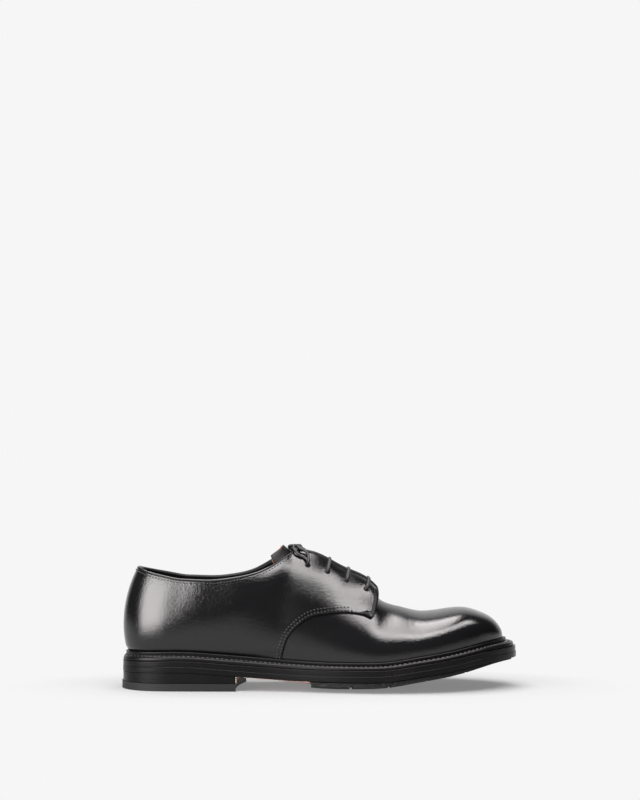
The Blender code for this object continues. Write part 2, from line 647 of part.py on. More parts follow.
def make_tread(collection, finish):
    """Rubber forefoot with cross grooves and a flat spot on the floor."""
    grooves = [float(place_along(FIRST_GROOVE)) + GROOVE_PITCH * k for k in range(GROOVES)]
    half = GROOVE_WIDTH / 2
    start, end = place_along(TREAD_START), place_along(TREAD_END)
    stations = [(start, 0), (start + 0.008, 0)]
    for groove in grooves:
        stations += [(groove - 0.011, 0), (groove - half, 0), (groove - 0.3 * half, 1),
                     (groove + 0.3 * half, 1), (groove + half, 0), (groove + 0.009, 0)]
    stations = [row for row in stations if row[0] < end - 0.012]
    stations += [(end - 0.016, 0), (end - 0.008, 0), (end - 0.003, 0), (end, 0)]
    x = np.array([row[0] for row in stations])
    cut = np.array([row[1] for row in stations])
    outer, inner = edge_at(OUTER, x, TREAD_SETBACK), edge_at(INNER, x, TREAD_SETBACK)
    weight = (ACROSS + 1) / 2
    y = outer[:, None] * (1 - weight) + inner[:, None] * weight
    grid = np.repeat(x[:, None], len(ACROSS), axis=1)
    thin = 1 - 0.72 * ease((share_along(x) - 0.84) / 0.13)
    thick = TREAD_THICK * thin[:, None] - GROOVE_DEPTH * cut[:, None]
    top = layer_z(grid, y, sole_drop() + FIT_GAP)
    bottom = np.maximum(top - thick, GROOVE_DEPTH * cut[:, None])
    sections = np.stack([grid, y], axis=2)[::-1]
    points, faces = plate(sections, top[::-1], bottom[::-1])
    return add_part("tread", new_mesh("tread", points, faces), finish, collection)


def heel_plate(name, inset, top_drop, bottom_z, top_z, collection, finish):
    """A heel layer from the back to the hollowed breast."""
    line = {side: edge_line(side, inset)[0] for side in (OUTER, INNER)}
    breast = place_along(BREAST_PLACE)
    steps = np.array([0, 0.012, 0.035, 0.075, 0.13, 0.2, 0.3, 0.42, 0.56, 0.7, 0.84, 1.0])
    back = min(line[OUTER][:, 0].min(), line[INNER][:, 0].min())
    base = back + (breast - back) * steps
    weight = (ACROSS + 1) / 2
    bow = BREAST_SKEW * (weight - 0.5) - BREAST_HOLLOW * (1 - ACROSS ** 2)
    grid = base[:, None] + bow[None, :] * (steps ** 3)[:, None]
    outer = np.interp(grid, line[OUTER][::-1, 0], line[OUTER][::-1, 1])
    inner = np.interp(grid, line[INNER][::-1, 0], line[INNER][::-1, 1])
    y = outer * (1 - weight) + inner * weight
    sections = np.stack([grid, y], axis=2)[::-1]
    top = layer_z(grid, y, top_drop) if top_z is None else 0 * grid + top_z
    points, faces = plate(sections, top[::-1], 0 * grid + bottom_z)
    return add_part(name, new_mesh(name, points, faces), finish, collection)


def on_facing(side, row, share, out):
    """A point at a height over the quarters' face."""
    near, _ = rib_net(side, [row, row + 0.02], [share, share + 0.01])
    normal = np.cross(near[0, 1] - near[0, 0], near[1, 0] - near[0, 0]) * -side
    normal /= np.linalg.norm(normal)
    rise = overlay_rise(np.array([row]), np.array([share]))[0, 0]
    return near[0, 0] + normal * (rise + out)


def tube(name, route, collection, finish):
    """Round lace along a smooth curve through the route's points."""
    route = np.array(route)
    places = np.concatenate([[0], np.cumsum(np.linalg.norm(np.diff(route, axis=0), axis=1))])
    count = max(6, int(places[-1] / (2.2 * LACE_THICK)))
    points = spline(places, route, np.linspace(0, places[-1], count))
    curve = bpy.data.curves.new(name, "CURVE")
    curve.dimensions = "3D"
    curve.bevel_depth = LACE_THICK / 2
    curve.bevel_resolution = 2
    curve.use_fill_caps = True
    run = curve.splines.new("POLY")
    run.points.add(count - 1)
    for point, place in zip(run.points, points):
        point.co = (*place, 1)
    lace = bpy.data.objects.new(name, curve)
    collection.objects.link(lace)
    curve.materials.append(finish)
    return lace


def make_lace_bars(collection, finish):
    """Straight bars from eyelet to eyelet over the facings."""
    out = LACE_THICK / 2 + 1.4 * FIT_GAP
    for number, row in enumerate(BAR_ROWS, 1):
        shares = (EYELET_DROP, 0.87, 0.94, 0.995)
        route = [on_facing(OUTER, row, share, out) for share in shares]
        route += [on_facing(INNER, row, share, out) for share in shares[::-1]]
        tube(f"lace_bar_{number}", route, collection, finish)


def make_knot(collection, finish):
    """Top run of the lace, up from one top eyelet, round its knot and down to the other."""
    out = LACE_THICK / 2 + 1.4 * FIT_GAP
    route = []
    for side in (OUTER, INNER):
        run = [on_facing(side, KNOT_ROW, EYELET_DROP, out),
               on_facing(side, KNOT_ROW + 0.25, 0.88, out),
               on_facing(side, KNOT_ROW + 0.45, 0.95, 1.6 * out)]
        route += run if side == OUTER else run[::-1]
        if side == OUTER:
            middle = on_facing(side, TOP_ROW - 0.1, 1.0, 3.2 * out)
            x, z = middle[0] + KNOT_SHIFT[0], middle[2] + KNOT_SHIFT[1]
            route.append(Vector((x, float(axis(x)), z)))
    tube("lace_knot", [tuple(point) for point in route], collection, finish)


def main():
    for item in list(bpy.data.objects):
        bpy.data.objects.remove(item, do_unlink=True)
    shoe = bpy.data.collections.new("derby_shoe")
    cutters = bpy.data.collections.new("cutters")
    for collection in (shoe, cutters):
        bpy.context.scene.collection.children.link(collection)
    calf = material("polished_leather", (0.012, 0.012, 0.013), 0.16)
    edge = material("edge_leather", (0.014, 0.013, 0.013), 0.38)
    lining = material("lining_leather", (0.42, 0.19, 0.12), 0.62)
    rubber = material("rubber", (0.016, 0.016, 0.016), 0.55)
    cord = material("waxed_cord", (0.012, 0.012, 0.012), 0.5)

    make_upper(shoe, cutters, calf)
    make_tongue(shoe, lining)
    make_insole(shoe, lining)
    make_welt(shoe, edge)
    make_layer("midsole", MIDSOLE_SETBACK, WELT_THICK + FIT_GAP, MIDSOLE_THICK, shoe, edge)
    make_layer("outsole", OUTSOLE_SETBACK, sole_drop() - OUTSOLE_THICK, OUTSOLE_THICK, shoe, edge)
    make_tread(shoe, rubber)
    heel_plate("heel_stack", STACK_SETBACK, sole_drop() + FIT_GAP, LIFT_THICK + FIT_GAP, None,
               shoe, edge)
    heel_plate("heel_lift", -LIFT_FLARE, 0, 0, LIFT_THICK, shoe, rubber)
    make_lace_bars(shoe, cord)
    make_knot(shoe, cord)


main()
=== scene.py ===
# The derby shoe as photographed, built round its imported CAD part.
# Metres, +Z up, toe to +X, inner side of the foot to +Y.
import math

import bpy
import numpy as np
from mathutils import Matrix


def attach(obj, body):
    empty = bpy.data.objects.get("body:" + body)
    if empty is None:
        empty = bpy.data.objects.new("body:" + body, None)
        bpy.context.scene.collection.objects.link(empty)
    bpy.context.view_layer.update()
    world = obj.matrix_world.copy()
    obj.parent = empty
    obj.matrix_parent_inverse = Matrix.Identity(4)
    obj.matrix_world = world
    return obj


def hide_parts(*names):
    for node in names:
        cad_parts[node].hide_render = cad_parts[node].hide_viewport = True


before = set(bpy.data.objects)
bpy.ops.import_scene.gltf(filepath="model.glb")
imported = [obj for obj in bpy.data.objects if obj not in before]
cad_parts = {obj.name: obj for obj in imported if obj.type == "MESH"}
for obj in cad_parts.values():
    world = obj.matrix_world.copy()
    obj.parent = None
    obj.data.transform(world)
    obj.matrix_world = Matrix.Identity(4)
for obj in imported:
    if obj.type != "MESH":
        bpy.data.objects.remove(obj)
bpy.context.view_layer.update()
print("frame loaded")

# Driving sizes, as in the CAD
soleLength = 0.3030
ballWidth = 0.1049
instepHeight = 0.0820
seatHeight = 0.0250
toeSpring = 0.0100
camber = 0.0058
weltThick = 0.0032
midsoleThick = 0.0040
outsoleThick = 0.0040
liftThick = 0.0056
fitGap = 0.0003
liftFlare = 0.0006
ribWidth = 0.0022
ribHeight = 0.0035
ribClearance = 0.0003
weltLedge = 0.0042
shelfAtToe = 0.0056
edgeRound = 0.0009
setbackWelt = 0.0024
setbackMidsole = 0.0009
setbackStack = 0.0002
heelSetbackShare = 0.28
wall = 0.0018
overlay = 0.0014
facingRise = 0.0030
facingFrontRise = 0.0062
collarLift = 0.0014
saddleLift = 0.0034
laceThick = 0.0023
eyeletShare = 0.80
throatRow = 10.9
topRow = 14
outer = -1
inner = 1

# Outline of the outsole's edge from the heel's back round the outer side: along, across
outlineTable = np.array((
    (0.000, -0.024), (0.018, -0.185), (0.066, -0.295), (0.139, -0.329), (0.232, -0.334),
    (0.324, -0.341), (0.414, -0.370), (0.527, -0.443), (0.629, -0.492), (0.696, -0.499),
    (0.789, -0.476), (0.855, -0.424), (0.903, -0.361), (0.948, -0.262), (0.983, -0.142),
    (1.000, 0.022), (0.984, 0.180), (0.948, 0.289), (0.892, 0.397), (0.812, 0.470),
    (0.722, 0.499), (0.629, 0.470), (0.530, 0.378), (0.430, 0.284), (0.331, 0.243),
    (0.232, 0.250), (0.139, 0.276), (0.066, 0.248), (0.018, 0.143)))
toePoint = 15

# Bottom: along, seat, spring, camber, shelf, axis
profileTable = np.array((
    (0.00, 0.99, 0.00, 0.00, 0.42, -0.024),
    (0.10, 1.02, 0.00, 0.00, 0.42, -0.024),
    (0.17, 1.02, 0.00, 0.00, 0.42, -0.024),
    (0.24, 0.965, 0.00, 0.00, 0.44, -0.024),
    (0.33, 0.885, 0.00, 0.10, 0.48, -0.022),
    (0.43, 0.822, 0.00, 0.55, 0.60, -0.020),
    (0.52, 0.806, 0.00, 0.97, 0.75, -0.018),
    (0.60, 0.808, 0.00, 1.00, 0.88, -0.012),
    (0.66, 0.826, 0.01, 0.97, 0.92, -0.004),
    (0.74, 0.900, 0.17, 0.85, 0.95, 0.004),
    (0.82, 0.980, 0.34, 0.66, 0.98, 0.010),
    (0.90, 1.000, 0.76, 0.40, 1.00, 0.016),
    (0.96, 1.000, 0.97, 0.14, 1.00, 0.022),
    (1.00, 1.000, 1.02, 0.00, 1.00, 0.030)))

# Ribs from the toe's tip to the heel's back: foot, along, across, rise, flare, lean, turn, low, high
ribTable = np.array((
    (0.000, 0.9655, 0.000, 0.010, 4, 2, 0, 0.40, 0.40),
    (0.020, 0.9645, 0.011, 0.077, 4, 2, 0, 0.42, 0.42),
    (0.050, 0.9570, 0.023, 0.143, 5, 3, 0, 0.44, 0.45),
    (0.085, 0.9380, 0.032, 0.226, 6, 4, 0, 0.46, 0.48),
    (0.122, 0.9080, 0.040, 0.298, 6, 5, 0, 0.47, 0.50),
    (0.165, 0.8664, 0.046, 0.366, 7, 6, 0, 0.46, 0.50),
    (0.213, 0.8150, 0.048, 0.390, 8, 7, 0, 0.45, 0.48),
    (0.270, 0.7587, 0.048, 0.400, 9, 8, 0, 0.43, 0.46),
    (0.325, 0.7020, 0.048, 0.474, 9, 10, 0, 0.41, 0.42),
    (0.377, 0.6490, 0.048, 0.570, 9, 14, 0, 0.40, 0.36),
    (0.403, 0.6240, 0.048, 0.668, 9, 17, 0, 0.40, 0.33),
    (0.430, 0.5970, 0.048, 0.747, 9, 19, 0, 0.40, 0.31),
    (0.468, 0.5585, 0.048, 0.835, 9, 21, 0, 0.40, 0.30),
    (0.526, 0.4990, 0.055, 0.963, 10, 23, 0, 0.40, 0.29),
    (0.588, 0.4365, 0.070, 1.014, 11, 29, 0, 0.38, 0.285),
    (0.607, 0.4255, 0.110, 0.990, 12, 41, 0, 0.36, 0.270),
    (0.637, 0.4040, 0.172, 0.930, 12, 50, 0, 0.34, 0.270),
    (0.668, 0.3730, 0.210, 0.861, 13, 58, 0, 0.33, 0.265),
    (0.708, 0.3300, 0.240, 0.794, 14, 65, 0, 0.325, 0.280),
    (0.752, 0.2805, 0.251, 0.746, 15, 70, 0, 0.32, 0.310),
    (0.803, 0.2210, 0.248, 0.710, 16, 73, 2, 0.32, 0.33),
    (0.857, 0.1625, 0.229, 0.705, 17, 73, 9, 0.32, 0.34),
    (0.907, 0.1100, 0.195, 0.736, 18, 70, 25, 0.31, 0.34),
    (0.948, 0.0700, 0.138, 0.774, 19, 66, 48, 0.31, 0.35),
    (0.976, 0.0488, 0.0715, 0.805, 20, 62, 70, 0.31, 0.35),
    (1.000, 0.0424, 0.000, 0.820, 20, 61, 90, 0.31, 0.35)))
oddColumns = (0, 2, 6)
backRow = len(ribTable) - 1

# Edge of the quarters over the vamp in side view, welt to facing: along, rise
seamTable = np.array((
    (0.405, -0.06), (0.407, 0.045), (0.414, 0.165), (0.431, 0.287), (0.469, 0.407),
    (0.503, 0.446), (0.541, 0.460), (0.580, 0.457), (0.613, 0.440), (0.628, 0.412),
    (0.634, 0.428), (0.641, 0.500), (0.647, 0.588), (0.648, 0.660), (0.645, 0.708),
    (0.637, 0.760), (0.624, 0.830), (0.600, 0.950)))


# Cubic through the values at their places, in Hermite form
# v = v0 (1+2t)(1-t)^2 + s0 w t (1-t)^2 + v1 t^2 (3-2t) + s1 w t^2 (t-1)
def spline(places, values, at, flatEnd=False, steady=False):
    places = np.asarray(places, float)
    values = np.asarray(values, float)
    count = len(places)
    steps = np.diff(places)
    rises = np.diff(values, axis=0) / steps[:, None]
    matrix = np.eye(count)
    bends = np.zeros_like(values)
    inside = np.arange(1, count - 1)
    matrix[inside, inside - 1] = steps[:-1]
    matrix[inside, inside] = 2 * (steps[:-1] + steps[1:])
    matrix[inside, inside + 1] = steps[1:]
    bends[1:-1] = 6 * np.diff(rises, axis=0)
    if flatEnd:
        matrix[-1, -2:] = steps[-1], 2 * steps[-1]
        bends[-1] = -6 * rises[-1]
    bends = np.linalg.solve(matrix, bends)
    slopes = np.vstack([rises - steps[:, None] * (2 * bends[:-1] + bends[1:]) / 6,
                        rises[-1:] + steps[-1] * (bends[-2:-1] + 2 * bends[-1:]) / 6])
    if steady:
        limit = 3 * np.minimum(np.abs(rises[:-1]), np.abs(rises[1:])) * (rises[:-1] * rises[1:] > 0)
        slopes[1:-1] = np.clip(slopes[1:-1], -limit, limit)
    at = np.asarray(at, float)
    part = np.clip(np.searchsorted(places, at, side="right") - 1, 0, count - 2)
    width = steps[part][..., None]
    t = (at - places[part])[..., None] / width
    return values[part] * (1 + 2 * t) * (1 - t) ** 2 + slopes[part] * width * t * (1 - t) ** 2 \
        + values[part + 1] * t * t * (3 - 2 * t) + slopes[part + 1] * width * t * t * (t - 1)


# 3v^2 - 2v^3, held to 0..1
def ease(value):
    value = np.clip(value, 0, 1)
    return value * value * (3 - 2 * value)


def placeAlong(share):
    return (np.asarray(share) - 0.5) * soleLength + liftFlare / 2


def shareAlong(x):
    return (np.asarray(x) - liftFlare / 2) / soleLength + 0.5


def profileAt(x):
    return spline(profileTable[:, 0], profileTable[:, 1:], np.clip(shareAlong(x), 0, 1))


def weltTop(x):
    columns = profileAt(x)
    return columns[..., 0] * seatHeight + columns[..., 1] * toeSpring


def axisAt(x):
    return profileAt(x)[..., 4] * ballWidth


# Lengths along a line of points
def lengths(points):
    return np.concatenate([[0], np.cumsum(np.linalg.norm(np.diff(points, axis=0), axis=1))])


# Points at equal steps along a line
def evenly(points, count):
    places = lengths(points)
    at = np.linspace(0, places[-1], count)
    return np.stack([np.interp(at, places, points[:, k]) for k in range(points.shape[1])], axis=1)


def unit(vectors):
    return vectors / np.maximum(np.linalg.norm(vectors, axis=-1, keepdims=True), 1e-12)


# Both sides of the outsole's edge, toe to heel, with outward normals
def denseSides():
    loop = np.column_stack([placeAlong(outlineTable[:, 0]), outlineTable[:, 1] * ballWidth])
    wrapped = np.vstack([loop[-6:], loop, loop[:7]])
    places = lengths(wrapped)
    first, toe, last = places[6], places[6 + toePoint], places[6 + len(loop)]
    sides = {}
    for side, start, end in ((outer, toe, first), (inner, toe, last)):
        points = spline(places, wrapped, np.linspace(start, end, 900))
        runs = unit(np.gradient(points, axis=0))
        sides[side] = points, np.column_stack([runs[:, 1], -runs[:, 0]]) * side
    return sides


sides = denseSides()


# Edge moved in: p - n i
def edgeLine(side, inset):
    points, normals = sides[side]
    line = points - normals * np.asarray(inset).reshape(-1, 1)
    shares = lengths(line)
    return line, normals, shares / shares[-1]


def edgePoint(side, share, inset):
    line, normals, shares = edgeLine(side, inset)
    point = np.stack([np.interp(share, shares, line[:, k]) for k in range(2)], axis=-1)
    normal = np.stack([np.interp(share, shares, normals[:, k]) for k in range(2)], axis=-1)
    return point, unit(normal)


def edgeAt(side, x, inset):
    line = edgeLine(side, inset)[0]
    return np.interp(x, line[::-1, 0], line[::-1, 1])


def shelf(side):
    return profileAt(sides[side][0][:, 0])[:, 3] * shelfAtToe


def setback(side, width):
    fade = ease((shareAlong(sides[side][0][:, 0]) - 0.35) / 0.4)
    return width * (heelSetbackShare + (1 - heelSetbackShare) * fade)


def footInset(side):
    return setback(side, setbackWelt) + shelf(side) + ribWidth + fitGap


def ribPlaces():
    foot = ribTable[:, 0] * soleLength
    top = ribTable[:, 1:4] * (soleLength, ballWidth, instepHeight)
    runs = np.diff(foot) + np.linalg.norm(np.diff(top, axis=0), axis=1)
    return np.concatenate([[0], np.cumsum(runs / 2)])


corner = {"spread": 0.0075, "start": 11.8, "startFade": 1.6, "end": 18.8, "endFade": 2.0, "top": 0.22}
meanSteps = np.linspace(-2, 2, 9)


# Surface of the ribs. Between the facing and the collar it is the mean of near ribs, so that the
# leather has no crease there: p(at) = sum w_k p(at + k spread) / sum w_k
def ribNet(side, rows, shares):
    rows = np.asarray(rows, float)
    shares = np.atleast_2d(np.asarray(shares, float)) + np.zeros((len(rows), 1))
    net, arrive = ribCurves(side, rows, shares)
    along = ease((rows - corner["start"]) / corner["startFade"])
    along = along * ease((corner["end"] - rows) / corner["endFade"])
    spread = corner["spread"] * along[:, None] * np.sqrt(np.clip((1 - shares) / corner["top"], 0, 1)) \
        * ease(shares / 0.3)
    near = spread > 0.0002
    if near.any():
        row = (rows[:, None] + 0 * shares)[near]
        places = ribPlaces()
        at = np.interp(row, np.arange(len(ribTable)), places)
        total, mean = 0.0, 0.0
        for step in meanSteps:
            weight = math.exp(-step * step / 2)
            moved = np.interp(at + step * spread[near], places, np.arange(len(ribTable)))
            mean = mean + weight * ribCurves(side, moved, shares[near][:, None])[0][:, 0]
            total += weight
        net[near] = mean / total
    return net, arrive


# Ribs: p = (1-t)^3 foot + 3(1-t)^2 t first + 3(1-t) t^2 second + t^3 top
def ribCurves(side, rows, shares):
    places = ribPlaces()
    at = np.interp(rows, np.arange(len(ribTable)), places)
    columns = spline(places, ribTable, at, flatEnd=True, steady=True)
    columns[:, oddColumns] = spline(places, ribTable[:, oddColumns], at, steady=True)
    footShare, along, across, rise, flare, lean, turn, low, high = columns.T
    flat, normal = edgePoint(side, footShare, footInset(side))
    foot = np.column_stack([flat, weltTop(flat[:, 0]) + fitGap])
    x = placeAlong(along)
    lift = collarLift * ease((rows - topRow - 0.5) / 3) * ease((backRow - rows) / 3)
    lift = (lift + saddleLift * np.exp(-((rows - 16.7) / 1.2) ** 2)) * (side == inner)
    top = np.column_stack([x, axisAt(x) + side * across * ballWidth,
                           weltTop(x) + rise * instepHeight + lift])
    flare, lean, turn = np.radians(flare), np.radians(lean), np.radians(turn)
    leave = np.column_stack([normal * np.sin(flare)[:, None], np.cos(flare)])
    arrive = np.column_stack([np.sin(turn) * np.cos(lean), -side * np.cos(turn) * np.cos(lean),
                              np.sin(lean)])
    span = np.linalg.norm(top - foot, axis=1)
    first = foot + leave * (low * span)[:, None]
    second = top - arrive * (high * span)[:, None]
    t = shares[..., None]
    net = (1 - t) ** 3 * foot[:, None] + 3 * (1 - t) ** 2 * t * first[:, None] \
        + 3 * (1 - t) * t ** 2 * second[:, None] + t ** 3 * top[:, None]
    return net, arrive


# Strip over the crest, the same cubic from the outer ribs' tops to the inner ones
def crestNet(rows, shares):
    start, leave = ribNet(outer, rows, [1.0])
    end, arrive = ribNet(inner, rows, [1.0])
    reach = np.linalg.norm(end - start, axis=-1)[:, :1, None] / 3
    t = np.asarray(shares, float)[None, :, None]
    first = start + leave[:, None] * reach
    second = end + arrive[:, None] * reach
    return (1 - t) ** 3 * start + 3 * (1 - t) ** 2 * t * first \
        + 3 * (1 - t) * t ** 2 * second + t ** 3 * end


# Face of a bottom layer: z = welt top - sag (1 - |a|^2.4) - drop
def layerZ(x, y, drop):
    near, far = edgeAt(outer, x, 0), edgeAt(inner, x, 0)
    across = np.clip((2 * y - near - far) / np.maximum(far - near, 0.0001), -1, 1)
    return weltTop(x) - profileAt(x)[..., 2] * camber * (1 - np.abs(across) ** 2.4) - drop


# Height of the quarters over the vamp
def overlayRise(row, share):
    facing = ease((share - 0.55) / 0.35) * ease((18 - row) / 3)
    front = facing * ease((12.6 - row) / 2)
    rise = overlay + (facingRise - overlay) * facing + (facingFrontRise - facingRise) * front
    return rise * np.maximum(ease((share - 0.035) / 0.09), 0.07)


# Points and outward normals of the quarters' face at paired rows and shares
def onQuarter(side, rows, shares, out=0.0):
    rows, shares = np.asarray(rows, float), np.asarray(shares, float)
    step = 0.01
    near = ribNet(side, rows, shares[:, None])[0][:, 0]
    up = ribNet(side, rows, shares[:, None] + step)[0][:, 0] - near
    back = ribNet(side, np.minimum(rows + step, backRow), shares[:, None])[0][:, 0] \
        - ribNet(side, np.minimum(rows + step, backRow) - 2 * step, shares[:, None])[0][:, 0]
    normal = unit(np.cross(up, back)) * -side
    rise = overlayRise(rows, shares) + out
    return near + normal * rise[:, None], normal


# The quarters' seam over the vamp, on each side
seam = {"edge": 0.0006, "rows": (8.6, 17.0), "corner": 9, "points": 500}
coarseFaces = {}


# Shares u and v of two plane vectors that add to a third: a u + b v = c, by Cramer's rule
def solvePair(a, b, c):
    det = a[:, 0] * b[:, 1] - a[:, 1] * b[:, 0]
    return (c[:, 0] * b[:, 1] - c[:, 1] * b[:, 0]) / det, (a[:, 0] * c[:, 1] - a[:, 1] * c[:, 0]) / det


# Coarse grid of the quarters' face in side view, made once a side
def coarseFace(side):
    if side not in coarseFaces:
        row, share = (part.ravel() for part in np.meshgrid(np.linspace(*seam["rows"], 84),
                                                           np.linspace(0.0, 1.02, 52), indexing="ij"))
        coarseFaces[side] = row, share, onQuarter(side, row, share)[0][:, [0, 2]]
    return coarseFaces[side]


# Rows and shares of the quarters' face under points in side view, by steps of Newton's rule
def findOnQuarter(side, points):
    row, share, face = coarseFace(side)
    near = ((points[:, None] - face[None]) ** 2).sum(-1).argmin(axis=1)
    row, share = row[near].copy(), share[near].copy()
    step = 0.004
    for _ in range(5):
        here = onQuarter(side, row, share)[0][:, [0, 2]]
        byRow = (onQuarter(side, row + step, share)[0][:, [0, 2]] - here) / step
        byShare = (onQuarter(side, row, share + step)[0][:, [0, 2]] - here) / step
        down, over = solvePair(byRow, byShare, points - here)
        row = np.clip(row + np.clip(down, -0.3, 0.3), 8, 18)
        share = np.clip(share + np.clip(over, -0.1, 0.1), -0.02, 1.03)
    return row, share


# Quads of a grid, rows by columns. Normals follow columns x rows
def gridQuads(rows, columns, ring=False):
    down = np.arange(rows - 1)[:, None] * columns
    across = np.arange(columns if ring else columns - 1)[None, :]
    after = (across + 1) % columns
    return np.stack([down + across, down + after, down + columns + after,
                     down + columns + across], axis=-1).reshape(-1, 4)


# Mesh of points and quads. Coinciding points merge and collapsed quads become triangles
def addPiece(name, points, quads, finish, slot, replaced=()):
    points = np.asarray(points, float).reshape(-1, 3)
    quads = np.asarray(quads)
    _, first, place = np.unique(np.round(points, 7), axis=0, return_index=True, return_inverse=True)
    quads = place.reshape(-1)[quads]
    points = points[first]
    same = quads == np.roll(quads, -1, axis=1)
    flat = same.any(axis=1)
    corner = same[flat].argmax(axis=1)[:, None]
    triangles = np.take_along_axis(quads[flat], (corner + np.array([1, 2, 3])) % 4, axis=1)
    thin = (triangles == np.roll(triangles, -1, axis=1)).any(axis=1)
    triangles = triangles[~thin]
    quads = quads[~flat]
    used, place = np.unique(np.concatenate([quads.ravel(), triangles.ravel()]), return_inverse=True)
    quads, triangles = place[:quads.size].reshape(-1, 4), place[quads.size:].reshape(-1, 3)
    mesh = bpy.data.meshes.new(name)
    mesh.from_pydata(points[used].tolist(), [], quads.tolist() + triangles.tolist())
    mesh.materials.append(finish)
    mesh.shade_smooth()
    piece = bpy.data.objects.new(name, mesh)
    bpy.context.scene.collection.objects.link(piece)
    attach(piece, "root")
    if replaced:
        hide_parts(*replaced)
    print("piece", name, len(quads) * 2 + len(triangles))
    return piece


# Vertex normals of a mesh of quads, from the cross products of their diagonals
def meshNormals(points, quads):
    corners = points[quads]
    normal = np.cross(corners[:, 2] - corners[:, 0], corners[:, 3] - corners[:, 1])
    total = np.zeros_like(points)
    np.add.at(total, quads.ravel(), np.repeat(normal, 4, axis=0))
    return unit(total)


# Closed skin round an open one: p + n out above, p - n depth below, with walls between
def thicken(points, quads, out, depth, normals=None):
    points = np.asarray(points, float).reshape(-1, 3)
    if normals is None:
        normals = meshNormals(points, quads)
    count = len(points)
    starts, ends = quads.ravel(), np.roll(quads, -1, axis=1).ravel()
    real = starts != ends
    starts, ends = starts[real], ends[real]
    border = ~np.isin(starts * count + ends, ends * count + starts)
    starts, ends = starts[border], ends[border]
    walls = np.stack([ends, starts, starts + count, ends + count], axis=1)
    above = points + normals * np.reshape(out, (-1, 1))
    below = points - normals * np.reshape(depth, (-1, 1))
    return np.vstack([above, below]), np.vstack([quads, quads[:, ::-1] + count, walls])


# Tube of circles: p + r (a cos + b sin), ends closed by shrinking rings
def tubeGrid(path, radius, around=14, normals=(0, 0, 1)):
    path = np.asarray(path, float)
    runs = unit(np.gradient(path, axis=0))
    side = unit(np.cross(runs, normals))
    high = unit(np.cross(side, runs))
    angle = np.linspace(0, 2 * math.pi, around, endpoint=False)
    ring = side[:, None] * np.cos(angle)[:, None] + high[:, None] * np.sin(angle)[:, None]
    caps = []
    for end, sign in ((0, -1), (-1, 1)):
        turn = np.array((0.5, 1.0, 1.35, math.pi / 2))[:, None, None]
        caps.append(path[end] + (sign * runs[end] * np.sin(turn) + ring[end] * np.cos(turn)) * radius)
    points = np.concatenate([caps[0][::-1], path[:, None] + ring * radius, caps[1]])
    return points, gridQuads(len(points), around, ring=True)[:, ::-1]


# Rows of stitches: short capsules bowed over the surface, one after another along the path:
# q = p + n (lift + 0.34 thick (1 - b^2)) + m b slant + circle of the size at b, b from -1 to 1
def stitchGrid(path, normals, pitch, share, thick, lift=0.0, slant=0.0):
    places = lengths(path)
    count = max(2, int(places[-1] / pitch))
    at = (np.arange(count) + 0.5) / count * places[-1]
    bows = np.array([-1, -0.72, -0.3, 0.3, 0.72, 1])
    sizes = np.array([0.35, 0.8, 1, 1, 0.8, 0.35]) * thick / 2
    spots = at[:, None] + bows * pitch * share / 2
    line = np.stack([np.interp(spots, places, path[:, k]) for k in range(3)], axis=-1)
    up = unit(np.stack([np.interp(spots, places, normals[:, k]) for k in range(3)], axis=-1))
    run = unit(line[:, -1:] - line[:, :1]) + 0 * line
    side = unit(np.cross(run, up))
    high = lift + thick * 0.34 * (1 - bows ** 2)
    line = line + up * high[:, None] + side * (bows * slant)[:, None]
    angle = np.linspace(0, 2 * math.pi, 6, endpoint=False)[:, None]
    ring = side[:, :, None] * np.cos(angle) + up[:, :, None] * np.sin(angle)
    points = line[:, :, None] + ring * sizes[:, None, None]
    ends = [line[:, :1, None] + 0 * ring[:, :1], line[:, -1:, None] + 0 * ring[:, :1]]
    points = np.concatenate([ends[0], points, ends[1]], axis=1)
    one = gridQuads(points.shape[1], 6, ring=True)[:, ::-1]
    quads = (one[None] + (np.arange(count) * points.shape[1] * 6)[:, None, None]).reshape(-1, 4)
    return points.reshape(-1, 3), quads


# Several point and quad sets as one
def joined(*sets):
    points, quads, base = [], [], 0
    for part, faces in sets:
        part = np.asarray(part).reshape(-1, 3)
        points.append(part)
        quads.append(faces + base)
        base += len(part)
    return np.vstack(points), np.vstack(quads)


# A shader socket that takes part in plain sums
class Flow:
    def __init__(self, shader, socket):
        self.shader, self.socket = shader, socket

    def __add__(self, other):
        return self.shader.math("ADD", self, other)

    def __sub__(self, other):
        return self.shader.math("SUBTRACT", self, other)

    def __rsub__(self, other):
        return self.shader.math("SUBTRACT", other, self)

    def __mul__(self, other):
        return self.shader.math("MULTIPLY", self, other)

    __radd__ = __add__
    __rmul__ = __mul__

    # Smooth step from low to high
    def steps(self, low, high):
        return self.shader.node("ShaderNodeMapRange", {"interpolation_type": "SMOOTHSTEP"},
                                {0: self, 1: low, 2: high, 3: 0.0, 4: 1.0})


class Shader:
    def __init__(self, tree):
        self.tree = tree

    def node(self, kind, settings=None, inputs=None, out=0):
        made = self.tree.nodes.new(kind)
        for name, value in (settings or {}).items():
            setattr(made, name, value)
        for name, value in (inputs or {}).items():
            if isinstance(value, Flow):
                self.tree.links.new(value.socket, made.inputs[name])
            else:
                made.inputs[name].default_value = value
        return Flow(self, made.outputs[out])

    def math(self, operation, *items):
        return self.node("ShaderNodeMath", {"operation": operation}, dict(enumerate(items)))

    def mix(self, factor, first, second):
        return self.node("ShaderNodeMix", {"data_type": "RGBA"}, {0: factor, 6: first, 7: second}, 2)

    def noise(self, scale, detail, rough):
        return self.node("ShaderNodeTexNoise", None, {"Vector": self.place, "Scale": scale,
                                                      "Detail": detail, "Roughness": rough})

    def cells(self, scale, feature="F1"):
        return self.node("ShaderNodeTexVoronoi", {"feature": feature},
                         {"Vector": self.place, "Scale": scale})


